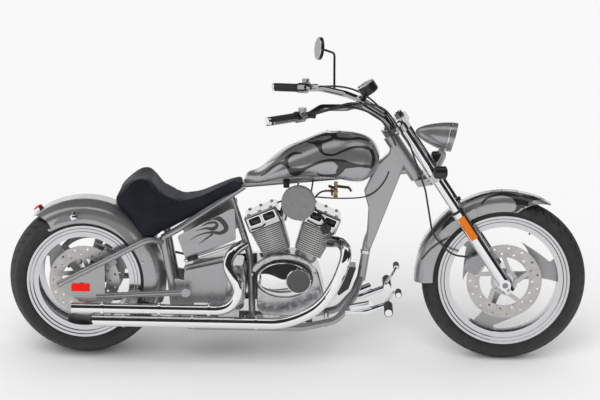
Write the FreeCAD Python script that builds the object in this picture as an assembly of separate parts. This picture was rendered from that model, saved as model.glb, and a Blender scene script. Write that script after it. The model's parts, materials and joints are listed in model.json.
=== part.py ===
import FreeCAD, Part
import math
import os

# A long, low V-twin motorcycle that leans on its side stand. Lengths in millimetres, angles in degrees.
# It is laid out upright: X runs forward from the rear axle, Y to the rider's left, Z up from the ground.
# At the end the whole machine leans to its left and moves to the middle of its own outline.

# Layout of the running gear
wheelbase = 1790.0
lean_angle = 7.5
rake_angle = 34.0
fork_offset = 70.0
running_gap = 0.05
seating_gap = 0.3
moving_gap = 5.0
overrun = 2.0

# Rear wheel
rear_tyre_radius = 328.0
rear_tyre_width = 245.0
rear_tread_width = 196.0
rear_crown_radius = 170.0
rear_tyre_height = 99.4
rear_rim_width = 212.0
rear_disc_radius = 150.0
rear_disc_offset = 88.0
rear_pulley_radius = 150.0

# Front wheel
front_tyre_radius = 350.0
front_tyre_width = 122.0
front_tread_width = 92.0
front_crown_radius = 62.0
front_tyre_height = 83.3
front_rim_width = 84.0
front_disc_radius = 160.0
front_disc_offset = 62.0

# What both wheels share
tyre_wall = 11.0
flange_height = 14.0
flange_thickness = 7.0
lip_step = 4.0
rim_wall = 10.0
lip_depth = 25.0
spoke_count = 3
spoke_thickness = 24.0
disc_thickness = 5.0
disc_band = 55.0
disc_hole_radius = 5.0
disc_hole_count = 15
axle_radius = 12.5
axle_nut_radius = 21.5
axle_nut_length = 12.0
hub_radius = 52.0
fender_wall = 3.0

# Rear end
arm_offset = 173.0
arm_radius = 13.0
axle_plate_thickness = 12.0
reflector_thickness = 5.0
pivot_x = 440.0
pivot_z = 304.0
rear_fender_radius = 348.0
rear_fender_half_width = 131.5
rear_skirt = 90.0
belt_offset = 146.0
belt_width = 18.0
belt_thickness = 6.0
belt_side_gap = 1.0

# Frame
rail_radius = 16.0
rail_offset = 105.0
rail_height = 140.0
downtube_radius = 19.0
backbone_radius = 19.0
neck_radius = 32.0
neck_low = 572.0
neck_high = 788.0
stem_radius = 14.0
gusset_half_width = 27.0
seat_post_radius = 15.0
post_x = 716.0
upright_x = 340.0

# Engine and gearbox
crank_x = 885.0
crank_z = 297.0
vee_angle = 45.0
case_half_width = 95.0
fin_base = 172.0
fin_pitch = 9.0
fin_thickness = 3.5
fin_count = 14
fin_half_low = 59.0
fin_half_high = 74.0
barrel_radius = 50.0
barrel_base = 142.0
fin_half_deep = 66.0
rocker_half_deep = 84.0
rocker_height = 70.0
plug_cover_radius = 23.0
plug_cover_length = 22.0
gearbox_setback = 285.0
primary_inner = 160.0
primary_outer = 214.0

# Exhaust
pipe_radius = 24.5
pipe_wall = 2.0
pipe_offset = 219.0

# Bodywork
tank_front = 1248.0
tank_length = 572.0
tank_floor = 742.0
tank_height = 236.0
tank_half_width = 145.0
seat_nose_gap = 1.0
seat_length = 558.0
seat_floor = 522.0
seat_height = 262.0
seat_half_width = 152.0

# Front end
leg_spread = 115.0
leg_radius = 26.0
tube_radius = 20.5
leg_foot = -38.0
leg_top = 372.0
lower_clamp = 552.0
upper_clamp = 806.0
clamp_height = 32.0
front_fender_radius = 383.0
front_fender_half_width = 72.0
front_skirt = 78.0
bar_radius = 14.3
grip_radius = 17.5
grip_length = 124.0
grip_end_x = 790.0
grip_end_y = 436.0
grip_end_z = 1090.0
lamp_radius = 64.0
lamp_length = 168.0

# Side stand
stand_x = 830.0
stand_y = 168.0
stand_z = 142.0
stand_foot_x = 900.0
stand_foot_y = 330.0
stand_radius = 11.0
foot_radius = 30.0
foot_thickness = 9.0

V = FreeCAD.Vector
ORIGIN = V(0, 0, 0)
AHEAD = V(1, 0, 0)
LEFT = V(0, 1, 0)
UP = V(0, 0, 1)
BOTH = (-1, 1)


def sine(angle):
    return math.sin(math.radians(angle))


def cosine(angle):
    return math.cos(math.radians(angle))


rear_seat_radius = rear_tyre_radius - rear_tyre_height
front_seat_radius = front_tyre_radius - front_tyre_height
tank_back = tank_front - tank_length
seat_back = tank_back - seat_nose_gap - seat_length

# The two tyres have different crowns, so the front axle drops a little for both to touch the ground when leaning.
crown_drop = (rear_crown_radius - front_crown_radius) * (1 - cosine(lean_angle)) / cosine(lean_angle)
REAR_AXLE = V(0, 0, rear_tyre_radius)
FRONT_AXLE = V(wheelbase, 0, front_tyre_radius - crown_drop)
CRANK = V(crank_x, 0, crank_z)
STEER_UP = V(-sine(rake_angle), 0, cosine(rake_angle))
STEER_AHEAD = V(cosine(rake_angle), 0, sine(rake_angle))
GEARBOX = V(crank_x - gearbox_setback, 0, crank_z)


def unit(vector):
    return V(vector).normalize()


def mirrored(point):
    return V(point.x, -point.y, point.z)


def fork(rise, ahead=0, side=0):
    """A point by its height along the fork, its distance ahead of the legs' line and its side."""
    return FRONT_AXLE + STEER_UP * rise + STEER_AHEAD * ahead + LEFT * side


def stem(rise, ahead=0, side=0):
    """The same, measured from the steering axis."""
    return fork(rise, ahead - fork_offset, side)


def on_wheel(axle, radius, angle, side=0):
    """A point round an axle, its angle counted from straight ahead towards the top."""
    return axle + V(radius * cosine(angle), side, radius * sine(angle))


def rod(start, end, radius):
    return Part.makeCylinder(radius, (end - start).Length, start, end - start)


def join(shapes):
    shapes = list(shapes)
    return shapes[0].multiFuse(shapes[1:]).removeSplitter() if len(shapes) > 1 else shapes[0]


def path(points, bend):
    """Straight runs joined by tangent arcs, in a plane or in space."""
    edges = []
    here = points[0]
    for before, corner, after in zip(points, points[1:], points[2:]):
        arriving = unit(corner - before)
        leaving = unit(after - corner)
        half_turn = arriving.getAngle(leaving) / 2
        if half_turn < 0.002:
            continue
        shorter = min((corner - before).Length, (after - corner).Length)
        trim = min(bend * math.tan(half_turn), 0.45 * shorter)
        radius = trim / math.tan(half_turn)
        first = corner - arriving * trim
        last = corner + leaving * trim
        middle = corner + unit(leaving - arriving) * (radius / math.cos(half_turn) - radius)
        edges.append(Part.LineSegment(here, first).toShape())
        edges.append(Part.Arc(first, middle, last).toShape())
        here = last
    edges.append(Part.LineSegment(here, points[-1]).toShape())
    return Part.Wire(edges)


def bent(points, radius, bend):
    """A round bar or tube along a path."""
    line = path(points, bend)
    circle = Part.Wire(Part.makeCircle(radius, points[0], points[1] - points[0]))
    return line.makePipeShell([circle], True, False)


def flowing_tube(start, points, outer, inner):
    """A tube that runs straight from its start and then follows a smooth curve through the points."""
    curve = Part.BSplineCurve()
    curve.interpolate(Points=points, InitialTangent=unit(points[0] - start), FinalTangent=unit(points[-1] - points[-2]))
    line = Part.Wire([Part.LineSegment(start, points[0]).toShape(), curve.toShape()])

    def along(radius):
        return line.makePipeShell([Part.Wire(Part.makeCircle(radius, start, points[0] - start))], True, False)
    return along(outer).cut(along(inner))


def rounded(corners, radius):
    """A face in the XZ plane whose corners are arcs, from a list of points."""
    count = len(corners)
    radii = radius if isinstance(radius, (list, tuple)) else [radius] * count
    edges = []
    ends = []
    for index, corner in enumerate(corners):
        arriving = unit(corner - corners[index - 1])
        leaving = unit(corners[(index + 1) % count] - corner)
        half_turn = arriving.getAngle(leaving) / 2
        shorter = min((corner - corners[index - 1]).Length, (corners[(index + 1) % count] - corner).Length)
        trim = min(radii[index] * math.tan(half_turn), 0.48 * shorter)
        arc_radius = trim / math.tan(half_turn)
        first = corner - arriving * trim
        last = corner + leaving * trim
        middle = corner + unit(leaving - arriving) * (arc_radius / math.cos(half_turn) - arc_radius)
        ends.append((first, middle, last))
    for index, (first, middle, last) in enumerate(ends):
        edges.append(Part.LineSegment(ends[index - 1][2], first).toShape())
        edges.append(Part.Arc(first, middle, last).toShape())
    return Part.Face(Part.Wire(edges))


def slab(corners, radius, low, high):
    """A plate with rounded corners, standing along the machine from one side value to the other."""
    face = rounded(corners, radius)
    face.translate(LEFT * low)
    return face.extrude(LEFT * (high - low))


def smooth(points):
    """A closed smooth outline through points."""
    curve = Part.BSplineCurve()
    curve.interpolate(points, PeriodicFlag=True)
    return Part.Wire(curve.toShape())


def disc(centre, radius, low, high):
    """A round plate across the machine."""
    return Part.makeCylinder(radius, high - low, centre + LEFT * low, LEFT)


def ring(centre, outer, inner, low, high):
    return disc(centre, outer, low, high).cut(disc(centre, inner, low - overrun, high + overrun))


def soften(shape, radius, chosen):
    """Rounds the edges for which chosen is true."""
    edges = [edge for edge in shape.Edges if chosen(edge)]
    return shape.makeFillet(radius, edges) if edges else shape


def at_side(side):
    """True for edges that lie in the plane at one side value."""
    def test(edge):
        box = edge.BoundBox
        return abs(box.YMin - side) < running_gap and abs(box.YMax - side) < running_gap
    return test


def spun(outline, axle):
    """A closed outline of (radius, side) points or edges turned about an axle."""
    face = Part.Face(Part.makePolygon([V(0, side, radius) for radius, side in outline + outline[:1]]))
    turned = face.revolve(ORIGIN, LEFT, 360)
    turned.translate(axle)
    return turned


# Wheels

def tyre(axle, radius, width, tread_width, crown, seat, rim_width):
    """An open-bellied tyre: a crowned tread, two rounded sidewalls and beads that sit on the rim."""
    half_tread = tread_width / 2
    shoulder = radius - crown + math.sqrt(crown ** 2 - half_tread ** 2)
    widest = (radius + seat) / 2
    bead = rim_width / 2
    lip = seat + flange_height
    inner_shoulder = shoulder - tyre_wall

    def line(first, second):
        return Part.LineSegment(V(0, *first), V(0, *second)).toShape()

    def arc(first, middle, last):
        return Part.Arc(V(0, *first), V(0, *middle), V(0, *last)).toShape()

    edges = []
    for way in BOTH:
        edges += [
            line((way * (bead - tyre_wall), seat), (way * bead, seat)),
            line((way * bead, seat), (way * bead, lip)),
            arc((way * bead, lip), (way * width / 2, widest), (way * half_tread, shoulder)),
            arc((way * (bead - tyre_wall), seat), (way * (width / 2 - tyre_wall), widest - tyre_wall),
                (way * (half_tread - tyre_wall), inner_shoulder)),
        ]
    edges.append(arc((-half_tread, shoulder), (0, radius), (half_tread, shoulder)))
    edges.append(arc((tyre_wall - half_tread, inner_shoulder), (0, radius - tyre_wall), (half_tread - tyre_wall, inner_shoulder)))
    face = Part.Face(Part.Wire(Part.__sortEdges__(edges)))
    body = face.revolve(ORIGIN, LEFT, 360)
    body.translate(axle)
    return body


def spoke(axle, root, rim, angle):
    """One blade: narrow in the middle, flared at the rim, with a curved horn beside the hub."""
    def spot(radius, turn):
        return on_wheel(axle, radius, angle + turn)
    blade = Part.Wire([
        Part.Arc(spot(root, -34), spot(rim * 0.62, -7), spot(rim, -13)).toShape(),
        Part.Arc(spot(rim, -13), spot(rim, 0), spot(rim, 17)).toShape(),
        Part.Arc(spot(rim, 17), spot(rim * 0.66, 9), spot(root, 40)).toShape(),
        Part.LineSegment(spot(root, 40), spot(root, -34)).toShape(),
    ])
    horn = Part.Wire([
        Part.Arc(spot(rim * 0.86, 6), spot(rim * 0.71, 27), spot(rim * 0.66, 56)).toShape(),
        Part.Arc(spot(rim * 0.66, 56), spot(rim * 0.56, 32), spot(rim * 0.46, 8)).toShape(),
        Part.LineSegment(spot(rim * 0.46, 8), spot(rim * 0.86, 6)).toShape(),
    ])
    return Part.Face(blade).fuse(Part.Face(horn)).removeSplitter()


def wheel(axle, seat, rim_width, first_angle, hub_low, hub_high):
    half = rim_width / 2
    lip = half + flange_thickness
    inner = seat - rim_wall
    outline = [
        (seat, half + seating_gap), (seat + flange_height, half + seating_gap), (seat + flange_height, lip),
        (seat + lip_step, lip), (seat, lip - lip_step), (inner, lip - lip_step),
        (inner - lip_step, lip - 2 * lip_step), (inner - lip_depth, lip - 2 * lip_step),
        (inner - lip_depth, lip - 2 * lip_step - rim_wall / 2), (inner, lip - 2 * lip_step - rim_wall),
    ]
    outline = outline + [(reach, -side) for reach, side in reversed(outline)]
    pieces = [spun(outline, axle), disc(axle, hub_radius, hub_low, hub_high)]
    for index in range(spoke_count):
        face = spoke(axle, hub_radius * 0.8, inner + rim_wall / 2, first_angle + 360 / spoke_count * index)
        face.translate(LEFT * (-spoke_thickness / 2))
        pieces.append(face.extrude(LEFT * spoke_thickness))
    body = join(pieces)
    return body.cut(disc(axle, axle_radius + running_gap, hub_low - overrun, hub_high + overrun))


def brake_disc(axle, radius, side):
    low = side - disc_thickness / 2
    high = side + disc_thickness / 2
    band = radius - disc_band
    carrier = hub_radius + disc_thickness
    arms = []
    for index in range(5):
        start = on_wheel(axle, carrier - overrun, 72 * index, side)
        end = on_wheel(axle, band + overrun, 72 * index + 20, side)
        bar = Part.makeBox((end - start).Length, disc_thickness, disc_band / 3, V(0, -disc_thickness / 2, -disc_band / 6))
        bar.rotate(ORIGIN, LEFT, -math.degrees(math.atan2(end.z - start.z, end.x - start.x)))
        bar.translate(start)
        arms.append(bar)
    body = join([ring(axle, radius, band, low, high), ring(axle, carrier, hub_radius - 12, low, high)] + arms)
    holes = []
    for row_share, shift in ((0.28, 0), (0.72, 0.5)):
        for index in range(disc_hole_count):
            turn = 360 / disc_hole_count * (index + shift)
            centre = on_wheel(axle, band + disc_band * row_share, turn)
            holes.append(disc(centre, disc_hole_radius, low - overrun, high + overrun))
    return body.cut(holes)


def rear_hub_span():
    return -rear_disc_offset + disc_thickness / 2, belt_offset - belt_width / 2


def rear_wheel():
    low, high = rear_hub_span()
    return wheel(REAR_AXLE, rear_seat_radius, rear_rim_width, 20, low, high)


def rear_disc():
    side = -rear_disc_offset
    body = brake_disc(REAR_AXLE, rear_disc_radius, side)
    low = side - disc_thickness / 2
    return body.cut(disc(REAR_AXLE, axle_radius + running_gap, low - overrun, low + disc_thickness + overrun))


def rear_pulley():
    low = belt_offset - belt_width / 2
    high = belt_offset + belt_width / 2
    flange = disc_thickness / 2
    pieces = [
        ring(REAR_AXLE, rear_pulley_radius, rear_pulley_radius - 16, low, high),
        ring(REAR_AXLE, rear_pulley_radius + flange, rear_pulley_radius - 16, low - flange, low),
        disc(REAR_AXLE, hub_radius, low, high),
    ]
    for index in range(5):
        arm = slab(
            [on_wheel(REAR_AXLE, hub_radius - 8, 72 * index - 18), on_wheel(REAR_AXLE, rear_pulley_radius - 8, 72 * index - 8),
             on_wheel(REAR_AXLE, rear_pulley_radius - 8, 72 * index + 8), on_wheel(REAR_AXLE, hub_radius - 8, 72 * index + 18)],
            flange, low, low + belt_width / 2)
        pieces.append(arm)
    return join(pieces).cut(disc(REAR_AXLE, axle_radius + running_gap, low - overrun, high + overrun))


def front_wheel():
    half = front_disc_offset - disc_thickness / 2
    return wheel(FRONT_AXLE, front_seat_radius, front_rim_width, 8, -half, half)


def front_disc():
    return brake_disc(FRONT_AXLE, front_disc_radius, -front_disc_offset).cut(
        disc(FRONT_AXLE, axle_radius + running_gap, -front_disc_offset - disc_thickness, -front_disc_offset + disc_thickness))


# Fenders

def arch(radius, half_width, skirt, inset=0):
    """Half section of a fender seen from ahead: flat sides, round shoulders and a low crown."""
    top = radius - inset
    half = half_width - inset
    shoulder = radius - skirt * 0.34 - inset
    points = [V(0, half, radius - skirt), V(0, half, shoulder), V(0, half * 0.52, top)]
    points += [mirrored(point) for point in reversed(points)]
    return path(points, half * 0.9)


def fender(axle, radius, half_width, skirt, first_angle, last_angle):
    outer = arch(radius, half_width, skirt)
    inner = arch(radius, half_width, skirt, fender_wall)
    low = radius - skirt
    ends = [Part.LineSegment(V(0, way * half_width, low), V(0, way * (half_width - fender_wall), low)).toShape() for way in BOTH]
    face = Part.Face(Part.Wire(Part.__sortEdges__(outer.Edges + inner.Edges + ends)))
    face.rotate(ORIGIN, LEFT, 90 - last_angle)
    body = face.revolve(ORIGIN, LEFT, last_angle - first_angle)
    body.translate(axle)
    return body


def fender_envelope(axle, radius, half_width, skirt):
    """The solid room that a fender and its wheel take up, for what is fitted over it."""
    outer = arch(radius + seating_gap, half_width + seating_gap, skirt)
    low = radius + seating_gap - skirt
    half = half_width + seating_gap
    ends = [Part.LineSegment(V(0, way * half, 0), V(0, way * half, low)).toShape() for way in BOTH]
    ends.append(Part.LineSegment(V(0, -half, 0), V(0, half, 0)).toShape())
    body = Part.Face(Part.Wire(Part.__sortEdges__(outer.Edges + ends))).revolve(ORIGIN, LEFT, 360)
    body.translate(axle)
    return body


def rear_fender_room():
    return fender_envelope(REAR_AXLE, rear_fender_radius, rear_fender_half_width, rear_skirt)


def front_fender_room():
    return fender_envelope(FRONT_AXLE, front_fender_radius, front_fender_half_width, front_skirt)


def rear_fender():
    body = fender(REAR_AXLE, rear_fender_radius, rear_fender_half_width, rear_skirt, -16, 130)
    tail = on_wheel(REAR_AXLE, rear_fender_radius - rear_skirt * 0.62, 131)
    return body.cut(disc(tail, rear_skirt * 0.62, -rear_tyre_width, rear_tyre_width))


def front_fender():
    body = fender(FRONT_AXLE, front_fender_radius, front_fender_half_width, front_skirt, 60, 182)
    nose = on_wheel(FRONT_AXLE, front_fender_radius * 0.63, 54)
    body = body.cut(disc(nose, front_fender_radius * 0.37, -front_tyre_width, front_tyre_width))
    return join([body] + fender_stays())


# Rear end

def rear_axle():
    right = -arm_offset + axle_plate_thickness / 2
    left = arm_offset + axle_plate_thickness / 2
    low, high = rear_hub_span()
    disc_face = -rear_disc_offset - disc_thickness / 2
    pulley_face = belt_offset + belt_width / 2
    shaft = disc(REAR_AXLE, axle_radius, right - axle_plate_thickness / 2, left + axle_nut_length / 2)
    spacers = [
        disc(REAR_AXLE, axle_radius + 7, -arm_offset + axle_plate_thickness / 2, disc_face - seating_gap),
        disc(REAR_AXLE, axle_radius + 7, pulley_face + seating_gap, arm_offset - axle_plate_thickness / 2),
    ]
    nut = disc(REAR_AXLE, axle_nut_radius, left, left + axle_nut_length)
    return join([shaft, nut] + spacers)


def pivot_tube(extra=0):
    reach = arm_offset + arm_radius
    body = rod(V(pivot_x, -reach, pivot_z), V(pivot_x, reach, pivot_z), arm_radius + 6 + extra)
    body.rotate(V(pivot_x, 0, pivot_z), LEFT, 90)
    return body


def swingarm():
    """Axle plates, upper and lower tubes and the pivot cross tube, both sides joined by the pivot."""
    pivot = V(pivot_x, 0, pivot_z)
    pieces = [pivot_tube()]
    for way in BOTH:
        side = LEFT * (way * arm_offset)
        low = way * arm_offset - axle_plate_thickness / 2
        high = low + axle_plate_thickness
        tail = V(-104, 0, 327)
        elbow = V(upright_x - 60, 0, 530)
        plate = slab([tail + (elbow - tail) * 0.02, tail + (elbow - tail) * 0.52, V(96, 0, 262), V(20, 0, 250), V(-60, 0, 286)], 6, low, high)
        upper = bent([tail + side, elbow + side, V(upright_x, way * rail_offset, 505)], arm_radius, 40)
        lower = rod(V(60, 0, 280) + side, pivot + side, arm_radius)
        pieces += [plate, upper, lower]
    return join(pieces).cut([disc(REAR_AXLE, axle_radius, -2 * arm_offset, 2 * arm_offset), lower_rail(-1), lower_rail(1),
                             seat_rail(-1), seat_rail(1)])


def rear_reflector():
    """The red reflector on the right axle plate, which lies over the axle's end."""
    face = -arm_offset - axle_plate_thickness / 2
    corners = [V(-45, 0, 303), V(33, 0, 303), V(33, 0, 336), V(-45, 0, 336)]
    return slab(corners, 4, face - reflector_thickness, face)


def caliper(axle, radius, angle, side, out_way, length, depth, reach):
    """A block that straddles the disc, hollowed for it, its outline along the disc's edge."""
    body = slab([on_wheel(axle, radius - reach, angle - length), on_wheel(axle, radius + reach * 0.45, angle - length * 0.8),
                 on_wheel(axle, radius + reach * 0.55, angle), on_wheel(axle, radius + reach * 0.45, angle + length * 0.8),
                 on_wheel(axle, radius - reach, angle + length)], reach / 4, side - depth / 2, side + depth / 2)
    room = disc_thickness / 2 + moving_gap / 2
    return body.cut(disc(axle, radius + moving_gap, side - room, side + room))


def rear_caliper():
    block = caliper(REAR_AXLE, rear_disc_radius, 44, -rear_disc_offset, -1, 17, 56, 40)
    face = -rear_disc_offset - 28
    bracket = slab([on_wheel(REAR_AXLE, 26, -70), on_wheel(REAR_AXLE, 132, 30), on_wheel(REAR_AXLE, 132, 56),
                    on_wheel(REAR_AXLE, 30, 150)], 10, face - 10, face)
    hole = disc(REAR_AXLE, axle_radius + 7 + running_gap, face - 20, face + 20)
    return join([block, bracket]).cut(hole)


def rear_lights():
    pods = []
    for way in BOTH:
        start = on_wheel(REAR_AXLE, 292, 97, way * (rear_fender_half_width - 12))
        pod = Part.makeCone(20, 11, 42, start, LEFT * way).fuse(Part.makeSphere(16, start + LEFT * (way * 42)))
        pods.append(pod.cut(rear_fender_room()))
    return Part.makeCompound(pods + [tail_light()])


def tail_light():
    base = on_wheel(REAR_AXLE, rear_fender_radius - 8, 125)
    body = Part.makeCylinder(22, 22, base, base - REAR_AXLE)
    return body.cut(rear_fender_room())


def rear_dampers():
    pieces = []
    for way in BOTH:
        back = V(pivot_x + 35, way * 56, rail_height - 4)
        front = V(post_x - 34, way * 56, rail_height - 4)
        body = join([rod(back, front, 9), rod(back + AHEAD * 30, back + AHEAD * 150, 24),
                     rod(back + AHEAD * 155, front - AHEAD * 25, 19)])
        pieces.append(body)
    pieces.append(rod(V(post_x - 34, -rail_offset, rail_height - 4), V(post_x - 34, rail_offset, rail_height - 4), 10))
    return join(pieces).cut([lower_rail(-1), lower_rail(1)])


# Frame

def post_tube():
    """The cross tube that the seat post and the gearbox stand on."""
    return rod(V(post_x, -rail_offset + 8, rail_height), V(post_x, rail_offset - 8, rail_height), rail_radius - 3)


def lower_rail(way, extra=0):
    points = [
        V(1182, 0, 352), V(1150, way * 44, 262), V(1082, way * 92, 172), V(930, way * rail_offset, rail_height),
        V(upright_x + 90, way * rail_offset, rail_height), V(upright_x + 46, way * rail_offset, 210),
        V(upright_x + 34, way * rail_offset, 330), V(upright_x - 4, way * rail_offset, 528),
    ]
    return bent(points, rail_radius + extra, 90)


def seat_rail(way, extra=0):
    points = [V(upright_x - 6, way * rail_offset, 524), V(upright_x + 60, way * rail_offset, 562), V(676, way * 34, 738)]
    return bent(points, rail_radius - 2 + extra, 120)


def backbone_line():
    return [V(676, 0, 744), stem(neck_low + 40)]


def backbone(extra=0):
    start, end = backbone_line()
    return rod(start, end, backbone_radius + extra)


def downtube(extra=0):
    return bent([stem(neck_low + 124, -14), V(1205, 0, 500), V(1180, 0, 330)], downtube_radius + extra, 200)


def gusset(extra=0):
    """The box plate that fills the corner between neck, backbone and downtube, or the room it needs."""
    corners = [
        stem(neck_high - 26, -8), stem(neck_high - 60, -44), V(1240 - extra, 0, 842), V(1186 - extra, 0, 726), V(1206, 0, 650),
        V(1198, 0, 480), V(1216, 0, 462), stem(neck_low + 84, -6)]
    return slab(corners, 12, -gusset_half_width - extra, gusset_half_width + extra)


def frame_neck():
    tube_body = rod(stem(neck_low), stem(neck_high), neck_radius)
    panel = gusset()
    panel = soften(panel, 9, lambda edge: at_side(gusset_half_width)(edge) or at_side(-gusset_half_width)(edge))
    body = join([tube_body, panel, backbone(), downtube()])
    return body.cut(rod(stem(neck_low - 40), stem(neck_high + 40), stem_radius + running_gap))


def frame_cradle():
    pieces = []
    for way in BOTH:
        pieces += [lower_rail(way), seat_rail(way)]
    pieces += [post_tube(), rod(V(1034, -96, 154), V(1034, 96, 154), rail_radius - 4)]
    pieces.append(rod(V(upright_x + 66, -rail_offset, 172), V(upright_x + 66, rail_offset, 172), rail_radius - 4))
    for way in BOTH:
        low, high = sorted((way * (rail_offset - 7), way * (rail_offset + 5)))
        corners = [V(upright_x + 32, 0, pivot_z + 42), V(pivot_x + 22, 0, pivot_z + 30), V(pivot_x + 30, 0, pivot_z - 14),
                   V(pivot_x + 12, 0, rail_height + 4), V(upright_x + 60, 0, rail_height + 4)]
        pieces.append(slab(corners, 12, low, high))
    pieces += [stand_bracket(), seat_post()]
    body = join(pieces)
    return body.cut([pivot_tube(), backbone(), downtube()])


def seat_post():
    body = bent([V(post_x - 108, 0, 724), V(post_x - 12, 0, 430), V(post_x, 0, rail_height)], seat_post_radius, 300)
    return body


# Engine

def tilted(shape, way):
    """Turns a cylinder piece, drawn upright over the crank, to its place in the vee."""
    shape.rotate(ORIGIN, LEFT, way * vee_angle / 2)
    shape.translate(CRANK)
    return shape


def crankcase():
    outline_shares = [(-1.40, -1.0), (1.02, -1.1), (1.3, -0.1), (1.06, 0.86), (0.55, 1.42), (-0.55, 1.42), (-1.2, 0.9), (-1.42, 0.0)]
    unit_size = 105.0
    corners = [CRANK + V(across * unit_size, 0, rise * unit_size) for across, rise in outline_shares]
    body = slab(corners, unit_size * 0.4, -case_half_width, case_half_width)
    body = soften(body, 8, lambda edge: at_side(case_half_width)(edge) or at_side(-case_half_width)(edge))
    boss = disc(CRANK, unit_size, case_half_width - overrun, primary_inner)
    feet = [Part.makeBox(70, 150, 40, CRANK + V(offset, -75, -unit_size * 1.0 - 36)) for offset in (-120, 20)]
    body = join([body, boss] + feet)
    decks = [tilted(disc_up(barrel_radius, barrel_base, 2 * fin_base), way) for way in BOTH]
    return body.cut([frame_rails()] + decks)


def disc_up(radius, low, high):
    return Part.makeCylinder(radius, high - low, V(0, 0, low))


def frame_rails():
    return join([lower_rail(-1), lower_rail(1), rod(V(1034, -96, 154), V(1034, 96, 154), rail_radius - 4)])


def fin_half(height):
    share = (height - fin_base) / (fin_pitch * fin_count)
    return fin_half_low + (fin_half_high - fin_half_low) * share


def cylinder_barrel(way):
    top = fin_base + fin_pitch * fin_count
    pieces = [disc_up(barrel_radius, barrel_base, top)]
    for index in range(fin_count):
        height = fin_base + fin_pitch * index
        half = fin_half(height)
        fin = Part.makeBox(2 * half, 2 * fin_half_deep, fin_thickness, V(-half, -fin_half_deep, height))
        pieces.append(fin.makeFillet(half * 0.3, [edge for edge in fin.Edges if edge.BoundBox.ZLength > fin_thickness * 0.9]))
    body = join(pieces)
    return tilted(body, way)


def rocker_box(way):
    base = fin_base + fin_pitch * fin_count
    half = fin_half_high
    body = Part.makeBox(2 * half, 2 * rocker_half_deep, rocker_height, V(-half, -rocker_half_deep, base))
    body = body.makeFillet(14, [edge for edge in body.Edges if edge.BoundBox.ZLength > rocker_height * 0.9])
    body = body.makeFillet(11, [edge for edge in body.Edges if edge.BoundBox.ZMin > base + rocker_height - 1])
    for side in BOTH:
        for shift in BOTH:
            window = Part.makeBox(half * 0.7, 12, rocker_height * 0.34, V(shift * half * 0.4 - half * 0.35, side * rocker_half_deep - 6, base + rocker_height * 0.4))
            body = body.cut(window)
    return tilted(body, way)


def cam_cover():
    centre = CRANK + V(-33, 0, 55)
    wire = Part.Wire(Part.Ellipse(centre, 118, 77).toShape())
    wire.rotate(centre, AHEAD, 90)
    face = Part.Face(wire)
    face.translate(LEFT * -case_half_width)
    body = face.extrude(LEFT * -52)
    return soften(body, 16, at_side(-case_half_width - 52))


def ignition_cover():
    centre = CRANK + V(30, 0, 58)
    low = -case_half_width - 52
    body = disc(centre, 51, low - 10, low)
    return soften(body, 4, at_side(low - 10))


def plug_cover():
    """The round cover over the plug of the front cylinder, on the flat side of its rocker box."""
    height = fin_base + fin_pitch * fin_count + rocker_height * 0.18
    place = V(fin_half_high * 0.33, -rocker_half_deep, height)
    body = Part.makeCylinder(plug_cover_radius, plug_cover_length, place, LEFT * -1)
    body = body.makeFillet(plug_cover_radius * 0.2, [edge for edge in body.Edges if edge.BoundBox.YMax < place.y - running_gap])
    return tilted(body, 1)


def intake():
    manifold = bent([CRANK + V(-46, 0, 292), CRANK + V(-30, 0, 360), CRANK + V(30, 0, 360), CRANK + V(46, 0, 292)], 19, 40)
    runner = rod(CRANK + V(0, 0, 360), CRANK + V(8, -100, 380), 24)
    throat = rod(CRANK + V(8, -100, 380), CRANK + V(22, -158, 402), 33)
    bowl = rod(CRANK + V(6, -84, 376), CRANK + V(6, -84, 330), 27)
    body = join([manifold, runner, throat, bowl])
    boxes = [rocker_box(way) for way in BOTH] + [cylinder_barrel(way) for way in BOTH]
    return body.cut(boxes)


def air_cleaner():
    centre = CRANK + V(26, 0, 406)
    plate = disc(centre, 66, -170, -158)
    cover = disc(centre, 72, -212, -170)
    cover = soften(cover, 8, at_side(-212))
    return join([plate, cover]).cut(intake())


def gearbox():
    body = gearbox_block()
    shaft = disc(GEARBOX, 22, case_half_width - overrun, primary_inner)
    feet = Part.makeBox(90, 120, 60, GEARBOX + V(-30, -60, -136))
    body = join([body, shaft, feet, gearbox_cover(), front_pulley()])
    return body.cut([post_tube(), rear_dampers()])


def gearbox_block(extra=0):
    """The gearbox casting, or the room it needs."""
    corners = [GEARBOX + V(-62 - extra, 0, -78 - extra), GEARBOX + V(82 + extra, 0, -86 - extra),
               GEARBOX + V(87 + extra, 0, 60), GEARBOX + V(74 + extra, 0, 112 + extra), GEARBOX + V(-60 - extra, 0, 96 + extra)]
    return slab(corners, 22, -case_half_width - extra, case_half_width + extra)


def gearbox_cover():
    body = slab([GEARBOX + V(28, 0, -46), GEARBOX + V(80, 0, -60), GEARBOX + V(84, 0, 58), GEARBOX + V(30, 0, 80)], 26, -case_half_width - 28, -case_half_width)
    return soften(body, 8, at_side(-case_half_width - 28))


def primary_cover():
    front = CRANK
    back = GEARBOX
    corners = [V(back.x, 0, back.z - 98), V(front.x, 0, front.z - 112), V(front.x + 112, 0, front.z - 60), V(front.x + 112, 0, front.z + 60),
               V(front.x, 0, front.z + 112), V(back.x, 0, back.z + 98), V(back.x - 98, 0, back.z + 50), V(back.x - 98, 0, back.z - 50)]
    body = slab(corners, 80, primary_inner, primary_outer)
    return soften(body, 14, at_side(primary_outer))


def front_pulley():
    low = belt_offset - belt_width / 2
    return disc(GEARBOX, 52, low, low + belt_width).cut(disc(GEARBOX, 22, low - overrun, low + belt_width + overrun))


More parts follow.
